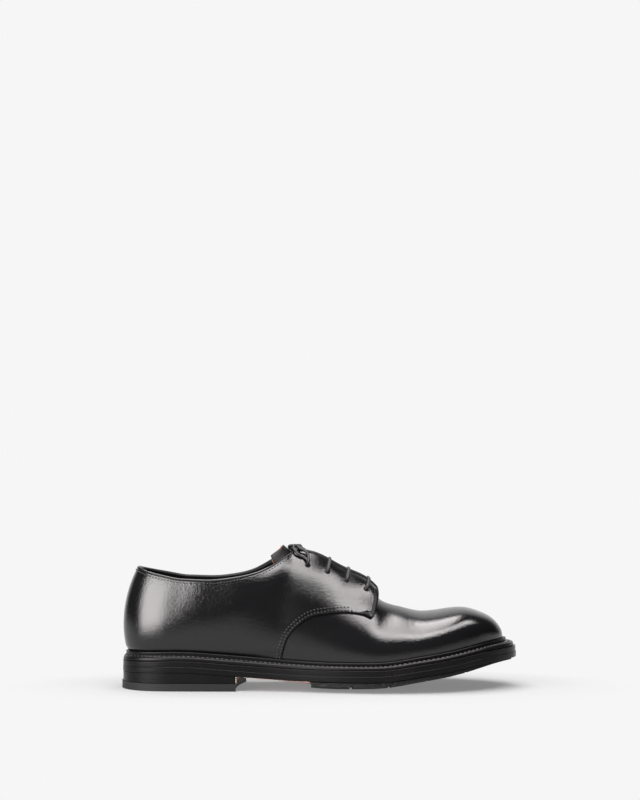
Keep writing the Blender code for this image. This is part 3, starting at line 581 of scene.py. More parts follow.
# New material with its shader helper, object coordinates and their X, Y and Z
def newShader(name):
    finish = bpy.data.materials.new(name)
    finish.use_nodes = True
    shader = Shader(finish.node_tree)
    shader.surface = finish.node_tree.nodes["Principled BSDF"]
    shader.place = shader.node("ShaderNodeTexCoord", out="Object")
    split = shader.node("ShaderNodeSeparateXYZ", None, {0: shader.place})
    outs = split.socket.node.outputs
    shader.x, shader.y, shader.z = (Flow(shader, outs[k]) for k in range(3))
    return finish, shader


# Sets the surface's sockets. height is in metres
def finishShader(shader, tint, roughness, height=None, plain=None):
    surface = shader.surface
    values = {"Base Color": tint, "Roughness": roughness, **(plain or {})}
    for name, value in values.items():
        if isinstance(value, Flow):
            shader.tree.links.new(value.socket, surface.inputs[name])
        else:
            surface.inputs[name].default_value = value
    if height is not None:
        bump = shader.node("ShaderNodeBump", None, {"Distance": 1.0, "Height": height})
        shader.tree.links.new(bump.socket, surface.inputs["Normal"])


def colour(red, green, blue):
    return (red, green, blue, 1.0)


# Polished calf: fine creased grain, faint waves, a soft polish that is uneven
def calfLeather(name, dark=(0.0028, 0.0028, 0.0031), rough=0.13, grain=1.0, shine=0.5):
    finish, shader = newShader(name)
    soft = shader.noise(620.0, 4.0, 0.6)
    pores = shader.cells(1500.0)
    broad = shader.noise(38.0, 2.0, 0.5)
    cloud = shader.noise(14.0, 3.0, 0.6)
    height = soft * (0.00013 * grain) + pores * (0.00004 * grain) + broad * 0.00022
    tint = shader.mix(cloud, colour(*dark), colour(*(1.5 * part for part in dark)))
    finishShader(shader, tint, rough + (soft - 0.5) * 0.08 + (cloud - 0.5) * 0.05, height,
                 plain={"Specular IOR Level": shine})
    return finish


# Soft lining: matt, with nap, pores and slight stains
def liningLeather(name, tone):
    finish, shader = newShader(name)
    nap = shader.noise(900.0, 4.0, 0.65)
    cloud = shader.noise(45.0, 3.0, 0.6)
    pores = shader.cells(700.0)
    tint = shader.mix(cloud, colour(*tone), colour(tone[0] * 0.72, tone[1] * 0.66, tone[2] * 0.62))
    finishShader(shader, tint, 0.62 + (nap - 0.5) * 0.2, nap * 0.00012 + pores * 0.00005,
                 plain={"Specular IOR Level": 0.35})
    return finish


# Waxed sole edge: fine level lines of the layers, and random rubbed patches that are smoother and
# tinted lighter grey; the tint is painted highlight standing in for the wax's sheen
def edgeLeather(name, dark=(0.0022, 0.0021, 0.0021), lines=0.000012):
    finish, shader = newShader(name)
    fine = shader.node("ShaderNodeTexWave", {"wave_type": "BANDS", "bands_direction": "Z"},
                       {"Vector": shader.place, "Scale": 260.0, "Distortion": 1.4, "Detail": 2.0,
                        "Detail Scale": 2.0})
    grit = shader.noise(1400.0, 3.0, 0.6)
    rubAndPaintedSheen = shader.noise(22.0, 4.0, 0.65).steps(0.52, 0.78)
    # Painted highlight: the rubbed patches are tinted lighter grey to stand in for the edge's sheen
    tint = shader.mix(rubAndPaintedSheen * 0.6, colour(*dark), colour(0.008, 0.007, 0.007))
    finishShader(shader, tint, 0.32 + (grit - 0.5) * 0.16 - rubAndPaintedSheen * 0.08,
                 fine * lines + grit * 0.00004, plain={"Specular IOR Level": 0.14})
    return finish


# Unstained leather of the heel's breast and the waist
def bareLeather(name):
    finish, shader = newShader(name)
    fibres = shader.noise(800.0, 5.0, 0.7)
    band = shader.node("ShaderNodeTexWave", {"wave_type": "BANDS", "bands_direction": "Z"},
                       {"Vector": shader.place, "Scale": 95.0, "Distortion": 0.8, "Detail": 2.0})
    cloud = shader.noise(60.0, 3.0, 0.6)
    light = shader.mix(cloud, colour(0.46, 0.29, 0.25), colour(0.60, 0.40, 0.34))
    tint = shader.mix(band.steps(0.86, 0.98) * 0.7, light, colour(0.16, 0.10, 0.085))
    finishShader(shader, tint, 0.66 + (fibres - 0.5) * 0.2, fibres * 0.00010,
                 plain={"Specular IOR Level": 0.3})
    return finish


# Satin rubber. The tread's has coarse pips
def rubber(name, dark=(0.0055, 0.0055, 0.0055), tread=False):
    finish, shader = newShader(name)
    grit = shader.noise(1100.0, 3.0, 0.6)
    cloud = shader.noise(40.0, 3.0, 0.6)
    tint = shader.mix(cloud, colour(*dark), colour(*(1.8 * part for part in dark)))
    height = grit * 0.00006
    if tread:
        height = height + shader.cells(420.0, "SMOOTH_F1") * 0.0005
    finishShader(shader, tint, 0.55 + (grit - 0.5) * 0.2, height, plain={"Specular IOR Level": 0.2})
    return finish


# Round waxed lace: small braided cells, their colour darker towards the sunken edges between cells as
# painted shade
def waxedCord(name, dark=(0.0030, 0.0030, 0.0032), light=(0.009, 0.009, 0.0095)):
    finish, shader = newShader(name)
    braidAndShade = shader.cells(1500.0)
    fibre = shader.noise(2600.0, 2.0, 0.6)
    # Painted shade: the tint darkens where the braid's bump sinks between the cells
    tint = shader.mix(braidAndShade.steps(0.15, 0.7), colour(*light), colour(*dark))
    finishShader(shader, tint, 0.46 + (fibre - 0.5) * 0.16, braidAndShade * -0.00022 + fibre * 0.00004,
                 plain={"Specular IOR Level": 0.3})
    return finish


# Waxed linen thread with a fine twist
def thread(name, tone):
    finish, shader = newShader(name)
    twist = shader.noise(3000.0, 2.0, 0.5)
    tint = shader.mix(twist, colour(*tone), colour(*(0.5 * part for part in tone)))
    finishShader(shader, tint, 0.42 + (twist - 0.5) * 0.2, twist * 0.00004,
                 plain={"Specular IOR Level": 0.5})
    return finish


# Camera: level at 125 mm over the floor and 1.0025 m from the shoe's middle plane, shifted as
# the photo is cut
camera = bpy.data.objects.new("camera", bpy.data.cameras.new("camera"))
bpy.context.scene.collection.objects.link(camera)
camera.location = (0, -1.0025, 0.125)
camera.rotation_euler = (math.radians(90), 0, 0)
camera.data.lens = 58.365
camera.data.sensor_width = 36
camera.data.shift_x = 0.0005
camera.data.shift_y = 0.155
camera.data.clip_start = 0.01
bpy.context.scene.camera = camera

cordFinish = waxedCord("waxed_lace")
calfFinish = calfLeather("polished_calf")
vampFinish = calfLeather("polished_vamp", rough=0.12, grain=0.9)
borderFinish = calfLeather("border_calf", (0.0024, 0.0024, 0.0026), 0.36, 0.8, 0.1)
threadFinish = thread("black_thread", (0.013, 0.013, 0.013))
weltThread = thread("welt_thread", (0.030, 0.028, 0.027))
liningFinish = liningLeather("inner_lining", (0.150, 0.072, 0.050))
tongueFinish = liningLeather("tongue_lining_leather", (0.300, 0.120, 0.070))
edgeFinish = edgeLeather("sole_edge")
weltFinish = edgeLeather("welt_leather", (0.0026, 0.0025, 0.0025), 0.000006)
bareFinish = bareLeather("bare_leather")
liftFinish = rubber("lift_rubber", (0.0075, 0.0075, 0.0075))
treadFinish = rubber("tread_rubber", tread=True)
# Near-black rubber for the discs in the eyelets: painted shade inside the holes
holeShadeFinish = rubber("eyelet_painted_shade", (0.0012, 0.0012, 0.0012))
print("camera and materials made")

# The lace. turns: middle from the knot, half length, half height, lean and weave of each long
# turn. hoops: shift and lean of each cross turn. rests: X and Z in side view, and height
lace = {"knotRow": 13.42, "knotX": -0.0178, "knotZ": 0.1078, "barRows": (12.68, 11.82, 10.52),
        "dive": 0.0022, "press": 0.5, "sag": 0.0009, "barRadius": 0.56, "turnRadius": 0.48,
        "loopRadius": 0.46,
        "rests": (((-0.0112, 0.1028), 0.0019), ((-0.0150, 0.1045), 0.0022)),
        "lowRests": (((-0.0118, 0.0988), 0.0013), ((-0.0160, 0.1006), 0.0014),
                     ((-0.0190, 0.1032), 0.0022)),
        "turns": (((-0.0012, -0.0030, -0.0012), 0.0046, 0.0017, -0.22, 0.0008),
                  ((-0.0004, 0.0016, -0.0010), 0.0040, 0.0016, 0.15, 0.0012)),
        "hoops": ((-0.0022, 0.35), (0.0014, -0.25)), "hoopWide": 0.0044, "hoopHigh": 0.0019}


# Mean of a line's points with their neighbours, w = exp(-(k / width)^2)
def softened(values, reach, width):
    near = np.arange(-reach, reach + 1)
    weight = np.exp(-(near / width) ** 2)
    place = np.clip(np.arange(len(values))[:, None] + near, 0, len(values) - 1)
    return (values[place] * (weight / weight.sum())[:, None]).sum(axis=1)


# Smooth evenly spaced line through a few points
def smoothLine(route, count):
    route = np.asarray(route, float)
    return evenly(spline(lengths(route), route, np.linspace(0, lengths(route)[-1], 3 * count)), count)


# Path of lace from eyelet to eyelet: out of the hole, over the facing, straight across, back in
def laceRoute(row):
    radius = laceThick / 2
    shares = np.array([eyeletShare, eyeletShare, eyeletShare + 0.035, 0.88, 0.94, 0.985])
    outs = np.array([-lace["dive"], 0.0, radius, radius * 0.9, radius * 0.8, radius * lace["press"]])
    ends = [onQuarter(side, np.full(6, row), shares, outs)[0] for side in (outer, inner)]
    steps = np.linspace(0, 1, 6)[1:-1, None]
    middle = ends[0][-1] * (1 - steps) + ends[1][-1] * steps
    middle = middle - np.array((0, 0, lace["sag"])) * np.sin(math.pi * steps)
    return smoothLine(np.vstack([ends[0], middle, ends[1][::-1]]), 90)


# Points held over the quarter's face, from X and Z in side view and a height
def overFace(side, rests):
    places, outs = zip(*rests)
    row, share = findOnQuarter(side, np.array(places))
    return onQuarter(side, row, share, np.array(outs))[0]


# Turns of the tied knot. Long ones: (a cos, w sin 2, b sin) turned by the lean. Cross ones: hoops
def knotTurns(middle):
    angle = np.linspace(0, 2 * math.pi, 60)
    turns = []
    for centre, long, high, lean, weave in lace["turns"]:
        x, z = long * np.cos(angle), high * np.sin(angle)
        ring = np.stack([x * math.cos(lean) - z * math.sin(lean), weave * np.sin(2 * angle),
                         x * math.sin(lean) + z * math.cos(lean)], axis=1)
        ring = ring + middle + centre
        turns.append(tubeGrid(ring, laceThick * lace["turnRadius"], normals=(0, 1, 0)))
    for shift, lean in lace["hoops"]:
        ring = np.stack([shift + 0.0012 * np.sin(angle + lean),
                         lace["hoopWide"] * np.cos(angle) - 0.0006,
                         lace["hoopHigh"] * np.sin(angle) - 0.0010], axis=1)
        turns.append(tubeGrid(middle + ring, laceThick * lace["loopRadius"], normals=(1, 0, 0)))
    return joined(*turns)


# The top run from eyelet to eyelet over the knot, and the second strand of the near loop
def makeKnot():
    middle = np.array([lace["knotX"], float(axisAt(lace["knotX"])), lace["knotZ"]])
    halves = []
    for side in (outer, inner):
        hole = onQuarter(side, [lace["knotRow"]] * 3, [eyeletShare] * 3,
                         np.array([-lace["dive"], 0.0, 0.0013]))[0]
        half = np.vstack([hole, overFace(side, lace["rests"]),
                          middle + (0.0012, side * 0.0036, -0.0004)])
        halves.append(half if side == outer else half[::-1])
    path = smoothLine(np.vstack([halves[0], [middle], halves[1]]), 130)
    cord = addPiece("lace_knot_run", *tubeGrid(path, laceThick / 2, 16), cordFinish, "waxed_cord",
                    ("lace_knot",))
    blob = addPiece("lace_knot_turns", *knotTurns(middle), cordFinish, "waxed_cord")
    hole = onQuarter(outer, [lace["knotRow"]] * 2, [eyeletShare, eyeletShare + 0.01],
                     np.array([-0.001, 0.0012]))[0]
    strand = smoothLine(np.vstack([hole, overFace(outer, lace["lowRests"]),
                                   middle + (-0.0022, -0.0030, -0.0010)]), 60)
    loop = addPiece("lace_knot_loop", *tubeGrid(strand, laceThick * lace["loopRadius"]), cordFinish,
                    "waxed_cord")


makeKnot()
for number, row in enumerate(lace["barRows"], 1):
    addPiece(f"lace_bar_{number}_cord", *tubeGrid(laceRoute(row), laceThick * lace["barRadius"], 16),
             cordFinish, "waxed_cord", (f"lace_bar_{number}",))
print("lace made")

# The upper's skins. shares: columns a side and over the crest
body = {"shares": 64, "liningShares": 40, "crestShares": 14, "thick": 0.0009, "liningLow": 0.03,
        "liningTrim": 0.022, "liningCrestEnd": 10.3, "liningOut": -0.0010}


# Skin of the whole body: outer side, crest and inner side across, toe to heel down. Faces over the
# open throat are left out. trim: share by which the top edge stays under the collar
def bodySkin(rows, count, low=0.0, trim=0.0, crestEnd=throatRow):
    crest = np.linspace(0, 1, body["crestShares"])[1:-1]
    shares = np.linspace(low, 1, count) * (1 - trim * ease((rows - throatRow) / 0.8))[:, None]
    grid = np.concatenate([ribNet(outer, rows, shares)[0],
                           crestNet(np.minimum(rows, throatRow), crest),
                           ribNet(inner, rows, shares)[0][:, ::-1]], axis=1)
    columns = grid.shape[1]
    quads = gridQuads(len(rows), columns).reshape(len(rows) - 1, columns - 1, 4)
    column = np.arange(columns - 1)
    between = (column >= count - 1) & (column < count + len(crest))
    throat = (rows[1:] > crestEnd + 1e-9)[:, None] & between
    return grid, quads[~throat]


def makeVamp():
    rows = np.concatenate([np.linspace(0.03, 2, 40), np.linspace(2, throatRow, 150)[1:],
                           np.linspace(throatRow, 16.6, 60)[1:]])
    grid, quads = bodySkin(rows, body["shares"])
    tip = ribNet(outer, [0.0], [0.0])[0][0, 0]
    grid = np.concatenate([np.broadcast_to(tip, (1, *grid.shape[1:])), grid])
    quads = np.vstack([gridQuads(2, grid.shape[1]), quads + grid.shape[1]])
    points = grid.reshape(-1, 3)
    normals = meshNormals(points, quads)
    normals[:grid.shape[1]] = (1, 0, 0)
    addPiece("vamp", *thicken(points, quads, 0, body["thick"], normals), vampFinish, "polished_leather")


def makeLining():
    rows = np.concatenate([np.linspace(1.2, throatRow, 60), np.linspace(throatRow, backRow, 110)[1:]])
    grid, quads = bodySkin(rows, body["liningShares"], body["liningLow"], body["liningTrim"],
                           body["liningCrestEnd"])
    addPiece("inside_lining", *thicken(grid, quads, body["liningOut"], wall), liningFinish,
             "lining_leather")


makeVamp()
makeLining()
print("vamp and lining made")


# The seam in side view, close-set
def seamView():
    parts = [spline(np.arange(len(part)), part, np.linspace(0, len(part) - 1, 200))
             for part in (seamTable[:seam["corner"]], seamTable[seam["corner"]:])]
    line = np.vstack(parts)
    x = placeAlong(line[:, 0])
    z = weltTop(placeAlong(seamTable[0, 0])) + line[:, 1] * instepHeight
    return softened(evenly(np.column_stack([x, z]), seam["points"]), 6, 2.6)


seamLine = seamView()


# The quarters' whole border on one side, from the seam's foot to the heel, at a distance in from
# the edge: rows and shares. The first call, at no distance, fixes which seam points are used
def borderPlaces(side, distance=0.0, used=None):
    runs = unit(np.gradient(seamLine, axis=0))
    normal = np.column_stack([-runs[:, 1], runs[:, 0]])
    if used is None:
        row, share = findOnQuarter(side, seamLine)
        good = (share > 0.004) & (share < 0.998)
        first = np.argmax(good)
        last = first + np.argmax(~good[first:]) if (~good[first:]).any() else len(good)
        used = first, last, np.linspace(row[last - 1] + 0.03, backRow, border["points"])
    first, last, top = used
    distance = np.broadcast_to(distance, (last - first + len(top),))
    count = last - first
    row, share = findOnQuarter(side, seamLine[first:last] + normal[first:last] * distance[:count, None])
    low, high = (onQuarter(side, top, np.full(len(top), near))[0] for near in (0.96, 0.99))
    speed = np.linalg.norm(low - high, axis=1) / 0.03
    return np.concatenate([row, top]), np.concatenate([share, 1 - distance[count:] / speed]), used


# Inside of the quarters in side view: crossings of a level ray with the seam's polygon
def insideQuarter(points, line):
    low = line[0, 1] - 0.02
    loop = np.vstack([line, [(line[-1, 0], 0.3), (-0.5, 0.3), (-0.5, low), (line[0, 0], low)]])
    start, end = loop, np.roll(loop, -1, axis=0)
    inside = np.zeros(len(points), bool)
    for (x0, z0), (x1, z1) in zip(start, end):
        if z0 == z1:
            continue
        crosses = (points[:, 1] < z0) != (points[:, 1] < z1)
        inside ^= crosses & (points[:, 0] < x0 + (points[:, 1] - z0) * (x1 - x0) / (z1 - z0))
    return inside


# The quarter of one side: a grid trimmed to the seam, its border points moved onto it
def quarterSide(side, count, across):
    rows = np.concatenate([np.linspace(8.6, 16.5, count, endpoint=False),
                           np.linspace(16.5, backRow, count)])
    shares = np.linspace(0.012, 1.0, across)
    row, share = (part.ravel() for part in np.meshgrid(rows, shares, indexing="ij"))
    face, normal = onQuarter(side, row, share)
    view = face[:, [0, 2]]
    runs = unit(np.gradient(seamLine, axis=0))
    line = seamLine + np.column_stack([-runs[:, 1], runs[:, 0]]) * seam["edge"]
    keep = insideQuarter(view, line)
    grid = face.reshape(len(rows), across, 3)
    byRow, byShare = np.gradient(grid, axis=0).reshape(-1, 3), np.gradient(grid, axis=1).reshape(-1, 3)
    start, end = line[:, 0].min() - 0.004, line[:, 0].max() + 0.004
    close = np.flatnonzero((view[:, 0] > start) & (view[:, 0] < end) & (row < 17.5))
    nearest = np.concatenate([((view[some][:, None] - line[None]) ** 2).sum(-1).argmin(axis=1)
                              for some in np.array_split(close, 40)])
    down, over = solvePair(byRow[close][:, [0, 2]], byShare[close][:, [0, 2]],
                           line[nearest] - view[close])
    snap = np.maximum(np.abs(down), np.abs(over)) < 0.52
    moved = close[snap]
    face[moved] += byRow[moved] * down[snap, None] + byShare[moved] * over[snap, None]
    keep[moved] = True
    return face, normal, keep, len(rows)


# Both sides as one grid, outer toe-end round the heel to the inner toe-end. Quads that keep three
# corners stay as triangles
def makeQuarters():
    across = 84
    near = quarterSide(outer, 138, across)
    far = quarterSide(inner, 138, across)
    count = near[3]
    flip = (np.arange(count - 2, -1, -1)[:, None] * across + np.arange(across)).ravel()
    points, normals, keep = (np.concatenate([near[k], far[k][flip]]) for k in range(3))
    quads = gridQuads(2 * count - 1, across)
    kept = keep[quads].sum(axis=1)
    cut = quads[kept == 3]
    lost = (~keep[cut]).argmax(axis=1)[:, None]
    corners = np.take_along_axis(cut, (lost + np.array([1, 2, 3, 3])) % 4, axis=1)
    quads = np.vstack([quads[kept == 4], corners])
    addPiece("quarters", *thicken(points, quads, 0, 0.0010, normals), calfFinish, "polished_leather",
             ("upper",))


makeQuarters()
print("quarters made")

# Border of the quarters. roll: edge over the vamp; band: facing; bind: collar; soft: reach and
# width of the smoothing. Rows run inside the edge at their distances
border = {"roll": 0.0011, "band": 0.0031, "bind": 0.0019, "soft": (9, 9 / 2.2), "points": 420,
          "corner": 0.69, "collarRow": 13.7}
rowsOfStitches = {"pitch": 0.0025, "share": 0.56, "thick": 0.00100, "lift": 0.0002,
                  "seam": ((0.0019, 0.665), (0.0042, 0.640)), "collar": 0.0013,
                  "collarThick": 0.00085, "collarRow": 14.3}
piping = {"radius": 0.00030, "out": 0.0003, "start": 0.74, "endRow": 14.5}


# Border strip: q(s) = p + (p' - p) along / width + n high, p' being the face at the width. Along
# the seam it goes down into the vamp, along the facing and collar round to the lining
def borderGrid(side):
    rows, shares, used = borderPlaces(side)
    seamCount = used[1] - used[0]
    rise = overlayRise(rows, shares)
    order = np.arange(len(rows))
    opened = ease((order - seamCount - 4) / 14.0)
    collar = ease((rows - border["collarRow"]) / 0.9) * (order >= seamCount)
    facing = ease((order - seamCount * border["corner"]) / (seamCount * 0.05)) * (1 - collar)
    width = border["roll"] * (1 - facing) * (1 - collar) + border["band"] * facing \
        + border["bind"] * collar
    point, normal = onQuarter(side, rows, shares)
    inRows, inShares, _ = borderPlaces(side, width, used)
    inPoint, inNormal = onQuarter(side, inRows, inShares)
    point, inPoint = (softened(line, *border["soft"]) for line in (point, inPoint))
    normal, inNormal = (unit(softened(line, *border["soft"])) for line in (normal, inNormal))
    depth = rise + 0.0006
    inside = rise + wall + 0.00035
    swell = 0.00008 + 0.00042 * facing + 0.00016 * collar
    turn = np.minimum(0.0008, rise * 0.5 + 0.0002)
    none = 0 * width
    along = [width * 1.12, width, width * 0.8, width * 0.5, turn, turn * 0.45, turn * 0.12, none]
    high = [none - 0.0003, none, swell * 0.85, swell, swell * 0.85, swell - turn * 0.25,
            swell - turn * 0.6, -turn]
    # The last six points of the profile: tucked under at the seam, round the wall where it is open
    closedAlong = [none + reach for reach in (0.0, 0.0, 0.0002, 0.0004, 0.0006, 0.0008)]
    closedHigh = [-depth * 0.5, -depth * 0.8, -depth, -depth - 0.0001, -depth - 0.0001, -depth]
    openAlong = [none - 0.0003, none - 0.0003, none + 0.0002, none + 0.0009,
                 width * (0.9 + 0.7 * collar), width * (1.3 + 1.9 * collar)]
    openHigh = [-inside * 0.35, -inside * 0.65, -inside * 0.93, -inside, -inside + 0.00002,
                -inside + 0.0004]
    along += [low * (1 - opened) + wide * opened for low, wide in zip(closedAlong, openAlong)]
    high += [low * (1 - opened) + wide * opened for low, wide in zip(closedHigh, openHigh)]
    along, high = np.stack(along, axis=1) / width[:, None], np.stack(high, axis=1)
    way = (inPoint - point)[:, None] * along[..., None]
    up = unit(normal[:, None] + (inNormal - normal)[:, None] * np.clip(along, 0, 1)[..., None])
    return point[:, None] + way + up * high[..., None], (used, rows, width)


# Line on the face at a distance in from the border, with its normals
def insideLine(side, distance, used):
    rows, shares, _ = borderPlaces(side, distance, used)
    point, normal = onQuarter(side, rows, shares)
    return softened(point, 5, 5 / 2.2), unit(softened(normal, 5, 5 / 2.2))


# Border of both sides as one strip, the rows of stitches, and a fine line beside the facing's band
def makeBorder():
    stitches, pipes, halves = [], [], []
    sizes = rowsOfStitches
    for side in (outer, inner):
        grid, (used, rows, width) = borderGrid(side)
        halves.append(grid)
        seamCount = used[1] - used[0]
        for distance, end in sizes["seam"]:
            line, normal = insideLine(side, distance, used)
            stop = int(seamCount * end)
            stitches.append(stitchGrid(line[6:stop], normal[6:stop], sizes["pitch"], sizes["share"],
                                       sizes["thick"], sizes["lift"]))
        line, normal = insideLine(side, border["bind"] + sizes["collar"], used)
        collar = rows > sizes["collarRow"]
        stitches.append(stitchGrid(line[collar], normal[collar], sizes["pitch"], sizes["share"],
                                   sizes["collarThick"]))
        line, normal = insideLine(side, width + piping["out"], used)
        band = np.flatnonzero((np.arange(len(rows)) > seamCount * piping["start"])
                              & (rows < piping["endRow"]))
        picks = np.linspace(band[0], band[-1], 200).astype(int)
        pipes.append(tubeGrid(line[picks] + normal[picks] * 0.0001, piping["radius"], 8, normal[picks]))
    whole = np.concatenate([halves[0], halves[1][-2::-1]])
    strip = gridQuads(len(whole), whole.shape[1])
    normals = meshNormals(whole.reshape(-1, 3), strip).reshape(whole.shape)
    if (normals[:, 3] * (whole[:, 3] - whole[:, -4])).sum() < 0:
        strip = strip[:, ::-1]
    addPiece("quarter_border", whole, strip, borderFinish, "polished_leather")
    addPiece("upper_stitches", *joined(*stitches), threadFinish, "polished_leather")
    addPiece("facing_piping", *joined(*pipes), borderFinish, "polished_leather")


makeBorder()
print("border and stitches made")

# Bar tack at the seam's corner, a few threads across both rows. start, end: shares of the seam
tack = {"start": 0.655, "end": 0.685, "count": 7, "from": 0.0006, "long": 0.0042, "thick": 0.0007}


def makeTacks():
    sets = []
    picks = (np.linspace(tack["start"], tack["end"], tack["count"]) * seam["points"]).astype(int)
    reach = np.linspace(tack["from"], tack["from"] + tack["long"], 12)[:, None]
    for side in (outer, inner):
        row, share = findOnQuarter(side, seamLine)
        base, normal = onQuarter(side, row[picks], share[picks])
        inward = unit(np.cross(normal, unit(np.gradient(base, axis=0)))) * -side
        for start, way, up in zip(base, inward, normal):
            line = start + way * reach + up * 0.0002
            sets.append(stitchGrid(line, np.tile(up, (12, 1)), tack["long"], 0.95, tack["thick"]))
    addPiece("bar_tacks", *joined(*sets), threadFinish, "polished_leather")


makeTacks()

# Eyelets: a punched hole with a pressed rim. profile: radius beyond the rim or hole, and height
eyelet = {"hole": 0.0013, "rim": 0.0021, "rows": (13.42, 12.68, 11.82, 10.52),
          "rimProfile": ((0.0004, -0.0002), (0.0, 0.00008), (-0.0003, 0.00022)),
          "holeProfile": ((0.0001, 0.00020), (0.0, 0.00006))}


# Rims are rings r(k) round the hole's axis; each hole is covered by a shallow dark disc, closed
# underneath, that is painted shade standing in for the hole's dark inside
def makeEyelets():
    profile = [(eyelet["rim"] + more, high) for more, high in eyelet["rimProfile"]] \
        + [(eyelet["hole"] + more, high) for more, high in eyelet["holeProfile"]]
    radii, heights = np.array(profile).T[..., None, None]
    angle = np.linspace(0, 2 * math.pi, 28, endpoint=False)[:, None]
    rims, shadeDiscs = [], []
    for side in (outer, inner):
        for row in eyelet["rows"]:
            base, normal = (part[0] for part in onQuarter(side, [row], [eyeletShare]))
            along = unit(np.cross(normal, (0, 0, 1)))
            circle = along * np.cos(angle) + np.cross(normal, along) * np.sin(angle)
            rims.append((base + circle * radii + normal * heights, gridQuads(5, 28, ring=True)))
            # Painted shade: a dark disc over the hole
            disc = base + circle * np.array([0.0, eyelet["hole"] + 0.00005])[:, None, None] \
                + normal * np.array([0.00005, 0.00006])[:, None, None]
            disc = np.concatenate([disc, disc[::-1] - normal * 0.0004])
            shadeDiscs.append((disc, gridQuads(4, 28, ring=True)))
    addPiece("eyelet_rims", *joined(*rims), borderFinish, "polished_leather")
    addPiece("eyelet_shade_discs", *joined(*shadeDiscs), holeShadeFinish, "polished_leather")


makeEyelets()
print("tacks and eyelets made")

# Tongue: follows the facings' underside, then stands above them. reach: of the standing part's top
# middle; curl and sink: how far its sides go back and down; stand: place, width and height
tongue = {"thick": 0.0024, "drop": 0.0008, "reach": (-0.0084, 0, 0.0068), "root": 9.3,
          "low": 0.70, "curl": 0.0082, "sink": 0.0004, "lip": 0.0009,
          "stand": ((0, 1.0, 1.0), (0.3, 0.85, 0.81), (0.6, 0.76, 0.66), (0.85, 0.66, 0.52),
                    (1.0, 0.50, 0.40))}


# Sheet under the facings, q = p - n depth, then the last line moved out along the reach, its
# width and height shrunk, with sides swept back by (y / half)^2
def tongueGrid():
    rows = np.linspace(tongue["root"] + 0.05, topRow, 70)
    shares = np.linspace(tongue["low"], 1.0, 18)
    net = np.concatenate([ribNet(outer, rows, shares)[0], crestNet(rows, np.linspace(0, 1, 11)[1:-1]),
                          ribNet(inner, rows, shares)[0][:, ::-1]], axis=1)
    depth = wall + 2 * fitGap + tongue["drop"] * ease(rows - topRow + 1)
    normals = meshNormals(net.reshape(-1, 3), gridQuads(*net.shape[:2])).reshape(net.shape)
    under = net - normals * depth[:, None, None]
    last = under[-1]
    middle = last[len(last) // 2]
    steps = np.linspace(0, 1, 24)[1:]
    table = np.array(tongue["stand"])
    sizes = spline(table[:, 0], table[:, 1:], steps)
    scale = np.stack([np.ones(len(steps)), sizes[:, 0] ** 0.6, sizes[:, 1]], axis=1)
    stand = middle + (last - middle) * scale[:, None] + np.array(tongue["reach"]) * steps[:, None, None]
    across = last[:, 1] - middle[1]
    edge = (across / np.abs(across).max()) ** 2
    stand[..., 0] -= tongue["curl"] * edge * ease(steps * 1.2)[:, None]
    stand[..., 2] -= tongue["sink"] * edge * steps[:, None] ** 2
    return np.concatenate([under, stand])


def makeTongue():
    half = tongue["thick"] / 2
    net = tongueGrid()
    addPiece("tongue_face", *thicken(net, gridQuads(*net.shape[:2]), 0, half), borderFinish,
             "polished_leather")
    net = np.concatenate([net, net[-1:] + unit(net[-1:] - net[-2:-1]) * tongue["lip"]])
    addPiece("tongue_back", *thicken(net, gridQuads(*net.shape[:2]), -half * 1.02, tongue["thick"]),
             tongueFinish, "lining_leather", ("tongue",))


makeTongue()
print("tongue made")

# Welt: rounder corners than the CAD's. ribProfile: shares of the rib's width, lean and height
welt = {"shares": (60, 190, 50), "pitch": 0.0036, "share": 0.58, "thick": 0.00085,
        "lift": 0.0001, "slant": 0.00025, "place": 0.42, "points": 900,
        "ribProfile": ((0.0, -0.25, -0.38), (0.0, -0.45, -0.66), (0.08, -0.6, -0.88),
                       (0.22, -0.7, -0.98), (0.45, -0.8, -1.02), (0.7, -0.9, -0.99), (1.0, -1.0, -0.9),
                       (1.0, -0.4, -0.4))}


# Section of welt and rib as insets from the outsole's edge and drops from the welt's top
def weltSection(edge, ribOut, lean, foot):
    under = weltThick - 0.5 * fitGap
    outside = [(0.0005, under), (-0.0003, under - 0.0001), (-0.0004, under - 0.0006),
               (-0.0001, edgeRound * 1.3), (0.25 * edgeRound, edgeRound * 0.45),
               (edgeRound * 0.7, 0.08 * edgeRound), (edgeRound * 1.3, 0.0)]
    rib = [(ribOut + wide * ribWidth + back * lean, high * ribHeight)
           for wide, back, high in welt["ribProfile"]]
    return [(edge + inset, drop) for inset, drop in outside] \
        + [(ribOut - 0.0004, 0.00002), (ribOut + 0.00005, -0.0002)] + rib \
        + [(ribOut + ribWidth, 0.0), (foot + weltLedge, 0.0), (foot + weltLedge, under)]


# Places along a side, denser at toe and heel
def alongSide(counts, first=0.0):
    parts = [np.linspace(first, 0.12, counts[0]), np.linspace(0.12, 0.88, counts[1])[1:],
             np.linspace(0.88, 1 - first, counts[2])[1:]]
    return np.concatenate(parts)


